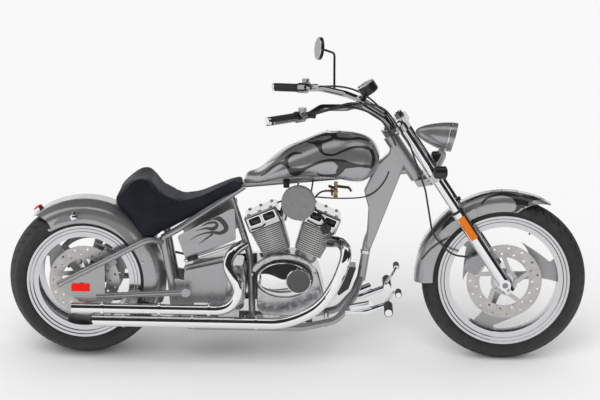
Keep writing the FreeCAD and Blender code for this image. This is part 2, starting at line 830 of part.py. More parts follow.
def drive_belt():
    low = belt_offset - belt_width / 2
    small = 52 + seating_gap
    large = rear_pulley_radius + seating_gap
    span = GEARBOX - REAR_AXLE
    slope = math.atan2(span.z, span.x)
    spread = math.acos((large - small) / span.Length)

    def belt_face(growth):
        points = []
        for radius, centre in ((large + growth, REAR_AXLE), (small + growth, GEARBOX)):
            for way in BOTH:
                turn = math.degrees(slope) + way * math.degrees(spread)
                points.append(on_wheel(centre, radius, turn))
        back = on_wheel(REAR_AXLE, large + growth, math.degrees(slope) + 180)
        front = on_wheel(GEARBOX, small + growth, math.degrees(slope))
        wire = Part.Wire([
            Part.Arc(points[1], back, points[0]).toShape(), Part.LineSegment(points[0], points[2]).toShape(),
            Part.Arc(points[2], front, points[3]).toShape(), Part.LineSegment(points[3], points[1]).toShape()])
        return Part.Face(wire)
    face = belt_face(belt_thickness).cut(belt_face(0))
    face.translate(LEFT * (low + belt_side_gap))
    return face.extrude(LEFT * (belt_width - 2 * belt_side_gap))


# Exhaust

def exhaust_upper():
    side = -pipe_offset
    points = [V(560, side, 240), V(634, side, 264), V(662, side, 322), V(642, side, 380), V(618, side + 12, 434),
              V(638, side + 44, 482), V(690, side + 102, 508), V(748, -54, 520)]
    body = flowing_tube(V(-40, side, 240), points, pipe_radius, pipe_radius - pipe_wall)
    return body.cut([cylinder_barrel(-1), rocker_box(-1), seat_post()])


def exhaust_lower():
    side = -pipe_offset
    points = [V(800, side, 187), V(905, side, 208), V(1000, side, 262), V(1062, side, 342), V(1100, side, 430), V(1114, side + 14, 492),
              V(1092, side + 76, 522), V(1032, -58, 508)]
    body = flowing_tube(V(48, side, 187), points, pipe_radius, pipe_radius - pipe_wall)
    slash = Part.makeBox(120, 120, 120, V(-120, side - 60, -60))
    slash.rotate(V(0, side, 0), LEFT, -24)
    slash.translate(V(48, 0, 187))
    return body.cut([slash, cylinder_barrel(1), rocker_box(1)])


# Bodywork

def tank():
    station_shares = [
        (0.0, 0.03, 0.08, 0.10), (0.08, 0.05, 0.26, 0.52), (0.166, 0.10, 0.40, 0.74), (0.29, 0.17, 0.65, 0.92),
        (0.44, 0.21, 0.82, 1.0), (0.605, 0.21, 0.98, 1.0), (0.743, 0.16, 1.0, 0.96), (0.88, 0.14, 0.945, 0.84),
        (0.96, 0.28, 0.82, 0.62), (1.0, 0.42, 0.64, 0.36),
    ]
    ring_shares = [(0.0, 1.0), (0.55, 0.90), (0.92, 0.62), (1.0, 0.36), (0.86, 0.08), (0.45, 0.0)]
    sections = []
    for along, low_share, high_share, wide_share in station_shares:
        x = tank_back + tank_length * along
        low = tank_floor + tank_height * low_share
        high = tank_floor + tank_height * high_share
        half = tank_half_width * wide_share
        right = [V(x, -half * across, low + (high - low) * rise) for across, rise in ring_shares]
        left = [mirrored(point) for point in reversed(right[1:])]
        sections.append(smooth(right + left))
    body = Part.makeLoft(sections, True, False)
    start, end = backbone_line()
    room = backbone_radius + 8
    lift = V(0, 0, room)
    tunnel = Part.Face(Part.makePolygon([start + lift, end + lift, end - lift * 4, start - lift * 4, start + lift]))
    tunnel.translate(LEFT * -room)
    return body.cut([tunnel.extrude(LEFT * (2 * room)), gusset(seating_gap)])


def fuel_cap():
    centre = V(tank_back + tank_length * 0.66, 0, tank_floor + tank_height * 0.99)
    body = disc_up(34, -14, 6)
    body = body.makeFillet(4, [edge for edge in body.Edges if edge.BoundBox.ZMin > 5])
    body.translate(centre)
    return body.cut(tank())


def seat():
    outline_shares = [
        (0.0, 0.62, 0.12), (0.205, 1.0, 0.16), (0.27, 0.99, 0.20), (0.37, 0.72, 0.34), (0.52, 0.56, 0.60), (0.68, 0.64, 0.46),
        (0.84, 0.80, 0.38), (0.98, 0.945, 0.06), (1.0, 0.86, 0.04), (0.985, 0.80, 0.04), (0.36, 0.12, 0.15), (0.33, 0.0, 0.05),
        (0.25, 0.03, 0.06), (0.18, 0.26, 0.23), (0.10, 0.47, 0.23)]
    corners = [V(seat_back + seat_length * along, 0, seat_floor + seat_height * rise) for along, rise, _ in outline_shares]
    radii = [seat_height * soft for _, _, soft in outline_shares]
    body = slab(corners, radii, -seat_half_width, seat_half_width)
    plan_shares = [(-0.02, 0.70), (0.10, 0.95), (0.30, 1.0), (0.45, 0.94), (0.70, 0.62), (1.0, 0.44), (1.04, 0.30)]
    right = [V(seat_back + seat_length * along, -seat_half_width * wide, seat_floor) for along, wide in plan_shares]
    left = [mirrored(point) for point in reversed(right)]
    plan = Part.Face(Part.makePolygon(right + left + right[:1])).extrude(UP * (seat_height * 1.1))
    body = body.common(plan)
    body = body.cut([rear_fender_room()])
    return body.cut([seat_rail(way, seating_gap) for way in BOTH] + [lower_rail(way, seating_gap) for way in BOTH]
                    + [backbone(seating_gap), seat_post(), tank(), swingarm()])


def oil_tank():
    body = slab([V(430, 0, 262), V(598, 0, 262), V(612, 0, 450), V(424, 0, 400)], 18, -96, 96)
    body = soften(body, 8, lambda edge: at_side(96)(edge) or at_side(-96)(edge))
    return body.cut([gearbox_block(seating_gap), disc(GEARBOX, 22 + seating_gap, 0, primary_inner), pivot_tube(seating_gap)])


def side_panels():
    panels = []
    for way in BOTH:
        low, high = sorted((way * 112.5, way * 119.5))
        panels.append(slab([V(398, 0, 534), V(640, 0, 664), V(648, 0, 524), V(436, 0, 430)], 12, low, high))
        low, high = sorted((way * 110.4, way * 121))
        lower = slab([V(430, 0, 246), V(602, 0, 246), V(616, 0, 428), V(428, 0, 384)], 18, low, high)
        panels.append(lower.cut([pivot_tube(seating_gap), disc(GEARBOX, 22 + seating_gap, 0, primary_inner)]))
    bridge = slab([V(440, 0, 470), V(600, 0, 560), V(600, 0, 600), V(440, 0, 510)], 8, -112.5, 112.5)
    return join(panels + [bridge]).cut([rod_of for rod_of in (seat_rail(-1, seating_gap), seat_rail(1, seating_gap))])


def regulator():
    body = slab([V(1078, 0, 262), V(1128, 0, 300), V(1160, 0, 396), V(1100, 0, 396)], 6, -46, 46)
    return body.cut([downtube(seating_gap), lower_rail(-1, seating_gap), lower_rail(1, seating_gap)])


def forward_control(way):
    """Bracket on the lower rail, foot peg and pedal or shift lever."""
    root = V(1120, way * 110, 212)
    knee = V(1296, way * 150, 262)
    bracket = bent([root, V(1200, way * 148, 226), knee], 13, 60)
    peg = rod(knee + V(0, -way * 16, 0), knee + V(0, way * 150, 0), 15)
    lever = bent([knee + V(-8, way * 8, 10), knee + V(26, way * 14, 60), knee + V(40, way * 60, 72)], 6, 20)
    pad = rod(knee + V(40, way * 56, 72), knee + V(40, way * 128, 72), 11)
    master = rod(V(1142, way * 124, 236), V(1222, way * 156, 262), 17)
    body = join([bracket, peg, lever, pad, master])
    return body.cut([lower_rail(way)])


# Front end

def triple_clamps():
    pieces = [rod(stem(lower_clamp - 20), stem(upper_clamp + 26), stem_radius)]
    for rise, height, grow in ((lower_clamp, clamp_height, 4), (upper_clamp, clamp_height - 2, 0)):
        width = leg_spread + tube_radius + 12 + grow
        face_points = [(-21, -20), (-21, 20), (fork_offset - 22, width), (fork_offset + 22, width), (fork_offset + 34, leg_spread - 16),
                       (fork_offset + 26, 0), (fork_offset + 34, -leg_spread + 16), (fork_offset + 22, -width), (fork_offset - 22, -width)]
        corners = [stem(rise - height / 2, ahead, side) for ahead, side in face_points]
        face = Part.Face(path_closed(corners, 16))
        pieces.append(face.extrude(STEER_UP * height))
    body = join(pieces)
    tools = [rod(fork(leg_top, 0, way * leg_spread), fork(upper_clamp + 60, 0, way * leg_spread), tube_radius) for way in BOTH]
    return body.cut(tools)


def path_closed(corners, radius):
    """A closed outline with arcs at its corners, in any plane."""
    count = len(corners)
    ends = []
    for index, corner in enumerate(corners):
        arriving = unit(corner - corners[index - 1])
        leaving = unit(corners[(index + 1) % count] - corner)
        half_turn = arriving.getAngle(leaving) / 2
        shorter = min((corner - corners[index - 1]).Length, (corners[(index + 1) % count] - corner).Length)
        trim = min(radius * math.tan(half_turn), 0.48 * shorter)
        arc_radius = trim / math.tan(half_turn)
        middle = corner + unit(leaving - arriving) * (arc_radius / math.cos(half_turn) - arc_radius)
        ends.append((corner - arriving * trim, middle, corner + leaving * trim))
    edges = []
    for index, (first, middle, last) in enumerate(ends):
        edges.append(Part.LineSegment(ends[index - 1][2], first).toShape())
        edges.append(Part.Arc(first, middle, last).toShape())
    return Part.Wire(edges)


def fork_tubes():
    tubes = []
    for way in BOTH:
        start = fork(leg_top, 0, way * leg_spread)
        end = fork(upper_clamp + clamp_height / 2 + 12, 0, way * leg_spread)
        tubes.append(rod(start, end, tube_radius))
    return Part.makeCompound(tubes)


def fork_legs():
    legs = []
    for way in BOTH:
        body = rod(fork(leg_foot, 0, way * leg_spread), fork(leg_top, 0, way * leg_spread), leg_radius)
        cap = rod(fork(leg_top - 16, 0, way * leg_spread), fork(leg_top, 0, way * leg_spread), leg_radius + 3)
        body = body.fuse(cap)
        boss = disc(FRONT_AXLE, axle_radius + 12, way * leg_spread - leg_radius, way * leg_spread + leg_radius)
        body = body.fuse(boss)
        legs.append(body.cut(disc(FRONT_AXLE, axle_radius, -2 * leg_spread, 2 * leg_spread)))
    return Part.makeCompound(legs)


def leg_reflectors():
    pieces = []
    for way in BOTH:
        side = way * (leg_spread + leg_radius + 1.5)
        low, high = 240, 350
        body = rod(fork(low, 0, way * leg_spread), fork(high, 0, way * leg_spread), leg_radius + 5)
        body = body.cut(rod(fork(low - 2, 0, way * leg_spread), fork(high + 2, 0, way * leg_spread), leg_radius))
        keep = Part.makeBox(30, 30, high - low, V(-15, -15, 0))
        keep.rotate(ORIGIN, LEFT, -rake_angle)
        keep.translate(fork(low, 0, way * (leg_spread + leg_radius + 2)))
        pieces.append(body.common(keep))
    return Part.makeCompound(pieces)


def front_axle():
    half = leg_spread + leg_radius
    hub_face = front_disc_offset - disc_thickness / 2
    shaft = disc(FRONT_AXLE, axle_radius, -half, half)
    nut = disc(FRONT_AXLE, axle_nut_radius, half, half + axle_nut_length)
    right = disc(FRONT_AXLE, axle_radius + 7, -leg_spread + leg_radius, -front_disc_offset - disc_thickness / 2 - seating_gap)
    left = disc(FRONT_AXLE, axle_radius + 7, hub_face + seating_gap, leg_spread - leg_radius)
    return join([shaft, nut, right, left])


def front_caliper():
    block = caliper(FRONT_AXLE, front_disc_radius, 152, -front_disc_offset, -1, 15, 46, 40)
    lug = slab([on_wheel(FRONT_AXLE, 120, 140), on_wheel(FRONT_AXLE, 176, 140), on_wheel(FRONT_AXLE, 170, 122), on_wheel(FRONT_AXLE, 120, 124)],
               6, -leg_spread + 6, -front_disc_offset - 12)
    return join([block, lug]).cut(fork_legs())


def fender_stays():
    """Brackets from the lower legs to the front fender."""
    pieces = []
    for way in BOTH:
        plate = slab([on_wheel(FRONT_AXLE, 318, 112), on_wheel(FRONT_AXLE, 352, 112), on_wheel(FRONT_AXLE, 352, 134), on_wheel(FRONT_AXLE, 318, 134)],
                     10, *sorted((way * (front_fender_half_width - fender_wall / 2), way * (leg_spread - leg_radius + 12))))
        pieces.append(plate.cut(fork_legs()))
    return pieces


def headlight():
    profile_shares = [(0.0, 0.0), (0.02, 0.16), (0.12, 0.38), (0.40, 0.70), (0.72, 0.92), (0.93, 1.0), (1.10, 1.0)]
    tip = V(1399, 0, 980)
    points = [V(0, radius * lamp_radius, along * lamp_length) for along, radius in profile_shares]
    curve = Part.BSplineCurve()
    curve.interpolate(points[:-1])
    wall = 3.0
    outer = [curve.toShape(), Part.LineSegment(points[-2], points[-1]).toShape(),
             Part.LineSegment(points[-1], V(0, 0, points[-1].z)).toShape(), Part.LineSegment(V(0, 0, points[-1].z), points[0]).toShape()]
    body = Part.Face(Part.Wire(outer)).revolve(ORIGIN, UP, 360)
    bowl = Part.makeCone(lamp_radius * 0.35, lamp_radius - wall, lamp_length * 0.5, V(0, 0, lamp_length * 0.6))
    body = body.cut([bowl])
    body.rotate(ORIGIN, LEFT, 98)
    body.translate(tip)
    visor = Part.makeBox(200, 300, 400, V(0, -150, -200))
    visor.rotate(ORIGIN, LEFT, 15)
    visor.translate(V(1563, 0, 956))
    body = body.cut(visor)
    arm = bent([stem(lower_clamp + 10, fork_offset + 30), stem(lower_clamp + 40, fork_offset + 80), V(1500, 0, 906)], 11, 40)
    solid = Part.makeCylinder(lamp_radius * 0.8, lamp_length * 0.8, tip + V(10, 0, 0), V(0.99, 0, -0.14))
    return body.fuse(arm.cut([solid, triple_clamps()]))


def headlight_lens():
    body = Part.makeCylinder(lamp_radius - 3.2, 8, V(1534, 0, 960), V(0.966, 0, -0.259))
    return max(body.cut(headlight()).Solids, key=lambda solid: solid.Volume)


def front_signals():
    pods = []
    for way in BOTH:
        start = stem(lower_clamp + 10, fork_offset + 10, way * (leg_spread + tube_radius + 16))
        centre = V(1500, way * 168, 838)
        pod = Part.makeCylinder(27, 52, centre - AHEAD * 26, AHEAD)
        pod = pod.makeFillet(14, [edge for edge in pod.Edges if edge.BoundBox.XMax < centre.x - 25])
        pods.append(pod.fuse(rod(start, centre, 8)).cut(triple_clamps()))
    return Part.makeCompound(pods)


def bar_points(way):
    end, into = grip_ends(way)
    return [V(1166, 0, 1102), V(1160, way * 76, 1102), V(1106, way * 170, 1107), V(1000, way * 244, 1118), end + into * 190, end]


def handlebar():
    right = bent(bar_points(-1), bar_radius, 60)
    left = bent(bar_points(1), bar_radius, 60)
    risers = []
    for way in BOTH:
        foot = stem(upper_clamp + clamp_height / 2 - 1, 22, way * 48)
        risers.append(bent([foot, foot + STEER_UP * 46, V(1164, way * 48, 1102) + unit(V(-1, 0, 0.7)) * 14], 17, 30))
    body = join([right, left] + risers)
    return body.cut(triple_clamps())


def grip_ends(way):
    end = V(grip_end_x, way * grip_end_y, grip_end_z)
    into = unit(V(105, -way * 62, 8))
    return end, into


def grips():
    pieces = []
    for way in BOTH:
        end, into = grip_ends(way)
        body = rod(end - into * 6, end + into * grip_length, grip_radius)
        pieces.append(body.cut(rod(end, end + into * (grip_length + 10), bar_radius)))
    return Part.makeCompound(pieces)


def hand_control(way):
    if way > 0:
        return hand_control(-1).mirror(ORIGIN, LEFT)
    end, into = grip_ends(way)
    perch = end + into * (grip_length + 6)
    clamp = rod(perch, perch + into * 34, bar_radius + 9)
    ahead = unit(V(0.51, way * 0.86, 0))
    box = rod(perch + into * 14 + UP * 8, perch + into * 14 + UP * 8 + ahead * 44, 15)
    lever = bent([perch + into * 14 + ahead * 34, perch - into * 20 + ahead * 52, perch - into * 130 + ahead * 50], 6, 20)
    pot = rod(perch + into * 16 + ahead * 20, perch + into * 16 + ahead * 20 + UP * 40, 17)
    body = join([clamp, box, lever, pot])
    return body.cut(rod(end, end + into * (grip_length + 56), bar_radius))


def mirror():
    stalk = bent([V(1052, 208, 1112), V(1050, 262, 1270), V(992, 346, 1277)], 5, 20)
    head = Part.makeCylinder(50, 14, V(990, 350, 1277), unit(V(-0.94, -0.3, 0.1)))
    return join([stalk, head]).cut([handlebar(), hand_control(1)])


def gauge():
    centre = V(1192, 0, 1166)
    facing = unit(V(-0.55, 0, 0.84))
    cup = Part.makeCylinder(40, 46, centre - facing * 30, facing)
    cup = cup.makeFillet(12, [edge for edge in cup.Edges if edge.Closed and edge.BoundBox.ZMax < centre.z + 10 and edge.BoundBox.ZLength > 40][:1])
    stalk = rod(V(1166, 0, 1104), centre - facing * 20, 9)
    return max(join([cup, stalk]).cut(handlebar()).Solids, key=lambda solid: solid.Volume)


def brake_line():
    side = -leg_spread - 12
    points = [V(930, -388, 1112), V(1000, -345, 1118), V(1120, -240, 1140), V(1260, -190, 1120), V(1370, -172, 960),
              stem(lower_clamp - 24, 8, side), V(1478, -108, 560), V(1560, -100, 470),
              on_wheel(FRONT_AXLE, 190, 146, -front_disc_offset - 12)]
    return bent(points, 4, 120).cut(hand_control(-1))


# Side stand

def stand_pivot():
    return V(stand_x, stand_y, stand_z)


def ground_height(side):
    """Height of the floor, in the upright layout, at a place out to the side."""
    drop = rear_crown_radius * (1 - cosine(lean_angle))
    return (side * sine(lean_angle) - drop) / cosine(lean_angle)


def stand_foot():
    return V(stand_foot_x, stand_foot_y, ground_height(stand_foot_y))


def floor_up():
    return V(0, -sine(lean_angle), cosine(lean_angle))


def side_stand():
    foot = stand_foot()
    sole = Part.makeCylinder(foot_radius, foot_thickness, foot, floor_up())
    ankle = foot + floor_up() * (foot_thickness + stand_radius / 2)
    leg = rod(ankle, stand_pivot(), stand_radius)
    eye = Part.makeCylinder(stand_radius + 8, 24, stand_pivot() - stand_axis() * 12, stand_axis())
    body = join([sole, leg, eye])
    return body.cut(Part.makeCylinder(8 + running_gap, 80, stand_pivot() - stand_axis() * 40, stand_axis()))


def stand_axis():
    """Normal to the plane that the leg swings in, from its place down and out to its place along the rail."""
    down = unit(stand_foot() - stand_pivot())
    folded = unit(V(-1, 0.12, -0.02))
    return unit(folded.cross(down))


def stand_bracket():
    axis = stand_axis()
    pin = Part.makeCylinder(8, 44, stand_pivot() - axis * 16, axis)
    collar = Part.makeCylinder(stand_radius + 8, 14, stand_pivot() + axis * 12.3, axis)
    arm = rod(V(stand_x, rail_offset, rail_height), stand_pivot() + axis * 22, 12)
    return join([pin, collar, arm]).cut([side_stand_room()])


def side_stand_room():
    axis = stand_axis()
    return Part.makeCylinder(stand_radius + 8 + moving_gap, 24.6, stand_pivot() - axis * 12.3, axis).cut(
        Part.makeCylinder(8, 80, stand_pivot() - axis * 40, axis))


PIECES = {
    "rear_tyre": lambda: tyre(REAR_AXLE, rear_tyre_radius, rear_tyre_width, rear_tread_width, rear_crown_radius,
                              rear_seat_radius, rear_rim_width),
    "rear_wheel": rear_wheel,
    "rear_brake_disc": rear_disc,
    "rear_pulley": rear_pulley,
    "front_tyre": lambda: tyre(FRONT_AXLE, front_tyre_radius, front_tyre_width, front_tread_width, front_crown_radius,
                               front_seat_radius, front_rim_width),
    "front_wheel": front_wheel,
    "front_brake_disc": front_disc,
    "rear_fender": rear_fender,
    "front_fender": front_fender,
    "rear_axle": rear_axle,
    "swingarm": swingarm,
    "rear_reflector": rear_reflector,
    "rear_caliper": rear_caliper,
    "rear_lights": rear_lights,
    "rear_dampers": rear_dampers,
    "frame_neck": frame_neck,
    "frame_cradle": frame_cradle,
    "crankcase": crankcase,
    "cylinders": lambda: Part.makeCompound([cylinder_barrel(way) for way in BOTH]),
    "rocker_boxes": lambda: Part.makeCompound([rocker_box(way) for way in BOTH]),
    "cam_cover": cam_cover,
    "ignition_cover": ignition_cover,
    "plug_cover": plug_cover,
    "intake": intake,
    "air_cleaner": air_cleaner,
    "gearbox": gearbox,
    "primary_cover": primary_cover,
    "drive_belt": drive_belt,
    "exhaust_upper": exhaust_upper,
    "exhaust_lower": exhaust_lower,
    "fuel_tank": tank,
    "fuel_cap": fuel_cap,
    "seat": seat,
    "oil_tank": oil_tank,
    "side_panels": side_panels,
    "regulator": regulator,
    "foot_controls": lambda: Part.makeCompound([forward_control(way) for way in BOTH]),
    "fork_clamps": triple_clamps,
    "fork_tubes": fork_tubes,
    "fork_legs": fork_legs,
    "leg_reflectors": leg_reflectors,
    "front_axle": front_axle,
    "front_caliper": front_caliper,
    "headlight": headlight,
    "headlight_lens": headlight_lens,
    "front_signals": front_signals,
    "handlebar": handlebar,
    "grips": grips,
    "hand_controls": lambda: Part.makeCompound([hand_control(way) for way in BOTH]),
    "mirror": mirror,
    "gauge": gauge,
    "brake_line": brake_line,
    "side_stand": side_stand,
}


def leaned(shape):
    """Turns a piece from the upright layout to the side stand."""
    placed = shape.copy()
    placed.rotate(ORIGIN, AHEAD, -lean_angle)
    return placed


def outline_shift(shapes):
    """Moves the middle of the machine's outline over the origin and its tyres to the ground."""
    boxes = [shape.optimalBoundingBox(False, False) for shape in shapes]
    low = V(min(box.XMin for box in boxes), min(box.YMin for box in boxes), min(box.ZMin for box in boxes))
    high = V(max(box.XMax for box in boxes), max(box.YMax for box in boxes), max(box.ZMax for box in boxes))
    return V(-(low.x + high.x) / 2, -(low.y + high.y) / 2, -low.z), high - low


def show_place(name, point, shift, direction=None):
    """Prints a point of the upright layout where it stands in the finished part."""
    turn = FreeCAD.Rotation(AHEAD, -lean_angle)
    place = turn.multVec(point) + shift
    text = name + " at " + " ".join(f"{value:.4f}" for value in place)
    if direction:
        text += " along " + " ".join(f"{value:.6f}" for value in turn.multVec(direction))
    print(text)


def main():
    os.makedirs("parts", exist_ok=True)
    shapes = {name: leaned(make()) for name, make in PIECES.items()}
    shift, size = outline_shift(shapes.values())
    for name, shape in shapes.items():
        shape.translate(shift)
        shape.exportStep("parts/" + name + ".step")
    print("overall size", " ".join(f"{value:.1f}" for value in size))
    show_place("rear axle", REAR_AXLE, shift, LEFT)
    show_place("front axle", FRONT_AXLE, shift, LEFT)
    show_place("steering axis", stem(lower_clamp), shift, STEER_UP)
    show_place("stand pivot", stand_pivot(), shift, stand_axis())
    show_place("stand sole", stand_foot(), shift, floor_up() * -1)
    rear_end = arm_offset + axle_plate_thickness / 2
    show_place("rear axle nut", REAR_AXLE + LEFT * (rear_end + axle_nut_length / 2), shift, LEFT)
    front_end = leg_spread + leg_radius
    show_place("front axle nut", FRONT_AXLE + LEFT * (front_end + axle_nut_length / 2), shift, LEFT)


if __name__ == "__main__":
    main()
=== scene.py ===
import json
import math

import bmesh
import bpy
from bpy.props import FloatProperty, FloatVectorProperty, PointerProperty
from mathutils import Matrix, Vector
from mathutils.bvhtree import BVHTree


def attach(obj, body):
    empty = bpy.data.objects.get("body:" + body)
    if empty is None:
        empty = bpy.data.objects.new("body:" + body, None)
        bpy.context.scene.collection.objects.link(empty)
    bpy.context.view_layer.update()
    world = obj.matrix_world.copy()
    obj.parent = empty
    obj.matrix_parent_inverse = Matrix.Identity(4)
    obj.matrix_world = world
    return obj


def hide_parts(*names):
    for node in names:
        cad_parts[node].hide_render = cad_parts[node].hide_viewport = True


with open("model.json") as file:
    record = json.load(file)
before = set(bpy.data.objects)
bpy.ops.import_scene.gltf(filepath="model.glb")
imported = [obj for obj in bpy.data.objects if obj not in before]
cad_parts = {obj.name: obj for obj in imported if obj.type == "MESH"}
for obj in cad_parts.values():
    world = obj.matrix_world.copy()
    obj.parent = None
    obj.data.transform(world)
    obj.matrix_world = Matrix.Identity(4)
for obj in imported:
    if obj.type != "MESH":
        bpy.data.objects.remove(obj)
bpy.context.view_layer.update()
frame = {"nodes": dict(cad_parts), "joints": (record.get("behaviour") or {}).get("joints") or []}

bl_info = {
    "name": "Chopper motorcycle dressing",
    "version": (1, 0, 0),
    "blender": (4, 5, 0),
    "location": "View3D > Sidebar > Chopper",
    "description": "Finishes and details for a long, low V-twin motorcycle",
    "category": "Object",
}

JOINTS = {joint["name"]: joint for joint in frame["joints"]}
MM = 0.001

# The machine is laid out upright in millimetres, X ahead of the rear axle, Y to the left, Z up from the ground,
# and leans to its left on its stand. These places are the same as the solids' own.
REAR_RADIUS = 328.0
FRONT_RADIUS = 350.0
RAKE = math.radians(34.0)
FORK_OFFSET = 70.0
LEG_SPREAD = 115.0
CRANK = Vector((885.0, 0.0, 297.0))

# Upright millimetres to the parked machine's metres.
LEAN = math.asin(-JOINTS["rear_wheel_spin"]["axis"][2])
STAND = (Matrix.Translation(JOINTS["rear_wheel_spin"]["pos_m"]) @ Matrix.Rotation(-LEAN, 4, "X")
         @ Matrix.Scale(MM, 4) @ Matrix.Translation((0.0, 0.0, -REAR_RADIUS)))
REAR_AXLE = Vector((0.0, 0.0, REAR_RADIUS))
FRONT_AXLE = STAND.inverted() @ Vector(JOINTS["front_wheel_spin"]["pos_m"])
FORK_UP = Vector((-math.sin(RAKE), 0.0, math.cos(RAKE)))
FORK_AHEAD = Vector((math.cos(RAKE), 0.0, math.sin(RAKE)))
SIDE = Vector((0.0, 1.0, 0.0))


def on_fork(rise, ahead=0.0, side=0.0):
    return FRONT_AXLE + FORK_UP * rise + FORK_AHEAD * ahead + SIDE * side


def round_axle(axle, radius, angle, side=0.0):
    """A point round an axle, its angle counted from straight ahead towards the top."""
    turn = math.radians(angle)
    return axle + Vector((radius * math.cos(turn), side, radius * math.sin(turn)))


# Making pieces

def stand_piece(name, mesh, finish, body):
    """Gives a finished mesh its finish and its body."""
    mesh.materials.clear()
    mesh.materials.append(FINISHES[finish])
    for polygon in mesh.polygons:
        polygon.use_smooth = True
    piece = bpy.data.objects.new(name, mesh)
    bpy.context.scene.collection.objects.link(piece)
    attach(piece, body)
    return piece


def add_piece(name, bm, finish, body="frame"):
    """Puts a mesh made in upright millimetres in its place and lets it ride on a body."""
    bmesh.ops.remove_doubles(bm, verts=bm.verts, dist=0.001)
    bmesh.ops.recalc_face_normals(bm, faces=bm.faces)
    mesh = bpy.data.meshes.new(name)
    bm.to_mesh(mesh)
    bm.free()
    mesh.transform(STAND)
    return stand_piece(name, mesh, finish, body)


def sharpen(piece, angle=35.0):
    """Keeps hard corners hard on a smooth piece."""
    piece.data.set_sharp_from_angle(angle=math.radians(angle))
    return piece


def facing(direction):
    return Vector(direction).to_track_quat("Z", "Y").to_matrix().to_4x4()


def turned(bm, profile, place, steps):
    """A profile of (radius, height) turned about Z, then placed."""
    before = set(bm.verts)
    start = [bm.verts.new((radius, 0.0, height)) for radius, height in profile]
    edges = [bm.edges.new(pair) for pair in zip(start, start[1:])]
    bmesh.ops.spin(bm, geom=start + edges, cent=(0, 0, 0), axis=(0, 0, 1), angle=math.tau, steps=steps,
                   use_merge=True)
    bmesh.ops.transform(bm, matrix=place, verts=[vert for vert in bm.verts if vert not in before])


def turned_at(bm, profile, centre, direction, steps=48):
    turned(bm, profile, Matrix.Translation(centre) @ facing(direction), steps)


def lathe(profile, centre, direction, steps=48):
    bm = bmesh.new()
    turned_at(bm, profile, centre, direction, steps)
    return bm


def add_bolt(bm, centre, direction, radius, height, sides=6):
    """A bolt head with a softened crown, its foot sunk a little into its seat."""
    made = bmesh.ops.create_cone(bm, cap_ends=True, segments=sides, radius1=radius, radius2=radius, depth=height)
    top = [edge for edge in {edge for vert in made["verts"] for edge in vert.link_edges}
           if all(vert.co.z > 0 for vert in edge.verts)]
    bevelled = bmesh.ops.bevel(bm, geom=top, offset=radius * 0.18, offset_type="OFFSET", affect="EDGES",
                               segments=2, profile=0.5, material=-1)
    verts = {vert for vert in made["verts"] if vert.is_valid} | set(bevelled["verts"])
    place = Matrix.Translation(Vector(centre) + Vector(direction).normalized() * (height * 0.4)) @ facing(direction)
    bmesh.ops.transform(bm, matrix=place, verts=list(verts))


def add_plate(bm, outline, thickness, place, bevel=0.0):
    """A flat plate from an outline of (x, y), raised along Z, then placed."""
    verts = [bm.verts.new((x, y, 0.0)) for x, y in outline]
    face = bm.faces.new(verts)
    made = bmesh.ops.extrude_face_region(bm, geom=[face])
    raised = [item for item in made["geom"] if isinstance(item, bmesh.types.BMVert)]
    bmesh.ops.translate(bm, vec=(0, 0, thickness), verts=raised)
    every = verts + raised
    if bevel:
        edges = list({edge for vert in raised for edge in vert.link_edges if edge.other_vert(vert) in raised})
        made = bmesh.ops.bevel(bm, geom=edges, offset=bevel, offset_type="OFFSET", affect="EDGES",
                               segments=2, profile=0.5, material=-1)
        every = [vert for vert in every if vert.is_valid] + made["verts"]
    bmesh.ops.transform(bm, matrix=place, verts=list(set(every)))


def add_ball(bm, centre, radius, squash=(1, 1, 1)):
    made = bmesh.ops.create_uvsphere(bm, u_segments=20, v_segments=12, radius=radius)
    place = Matrix.Translation(centre) @ Matrix.Diagonal((*squash, 1))
    bmesh.ops.transform(bm, matrix=place, verts=made["verts"])


def add_rod(bm, start, end, radius, sides=24):
    start, end = Vector(start), Vector(end)
    made = bmesh.ops.create_cone(bm, cap_ends=True, segments=sides, radius1=radius, radius2=radius,
                                 depth=(end - start).length)
    place = Matrix.Translation((start + end) / 2) @ facing(end - start)
    bmesh.ops.transform(bm, matrix=place, verts=made["verts"])


def add_ring(bm, centre, direction, radius, thickness, steps=48, sides=10):
    """A round wire bent into a ring."""
    circle = bmesh.ops.create_circle(bm, segments=sides, radius=thickness)
    bmesh.ops.transform(bm, matrix=Matrix.Translation((radius, 0, 0)) @ Matrix.Rotation(math.pi / 2, 4, "X"),
                        verts=circle["verts"])
    edges = list({edge for vert in circle["verts"] for edge in vert.link_edges})
    before = set(bm.verts) - set(circle["verts"])
    bmesh.ops.spin(bm, geom=circle["verts"] + edges, cent=(0, 0, 0), axis=(0, 0, 1), angle=math.tau,
                   steps=steps, use_merge=True)
    verts = [vert for vert in bm.verts if vert not in before]
    bmesh.ops.transform(bm, matrix=Matrix.Translation(centre) @ facing(direction), verts=verts)


def add_tube(name, points, radius, finish, body="frame"):
    """A smooth flexible tube through given points."""
    curve = bpy.data.curves.new(name, "CURVE")
    curve.dimensions = "3D"
    curve.bevel_depth = radius * MM
    curve.bevel_resolution = 5
    curve.resolution_u = 14
    curve.use_fill_caps = True
    spline = curve.splines.new("NURBS")
    spline.points.add(len(points) - 1)
    for point, spot in zip(spline.points, points):
        point.co = (*(STAND @ Vector(spot)), 1)
    spline.order_u = 3
    spline.use_endpoint_u = True
    holder = bpy.data.objects.new(name + "_line", curve)
    bpy.context.scene.collection.objects.link(holder)
    mesh = bpy.data.meshes.new_from_object(holder.evaluated_get(bpy.context.evaluated_depsgraph_get()))
    bpy.data.objects.remove(holder)
    mesh.name = name
    return stand_piece(name, mesh, finish, body)


# Making finishes

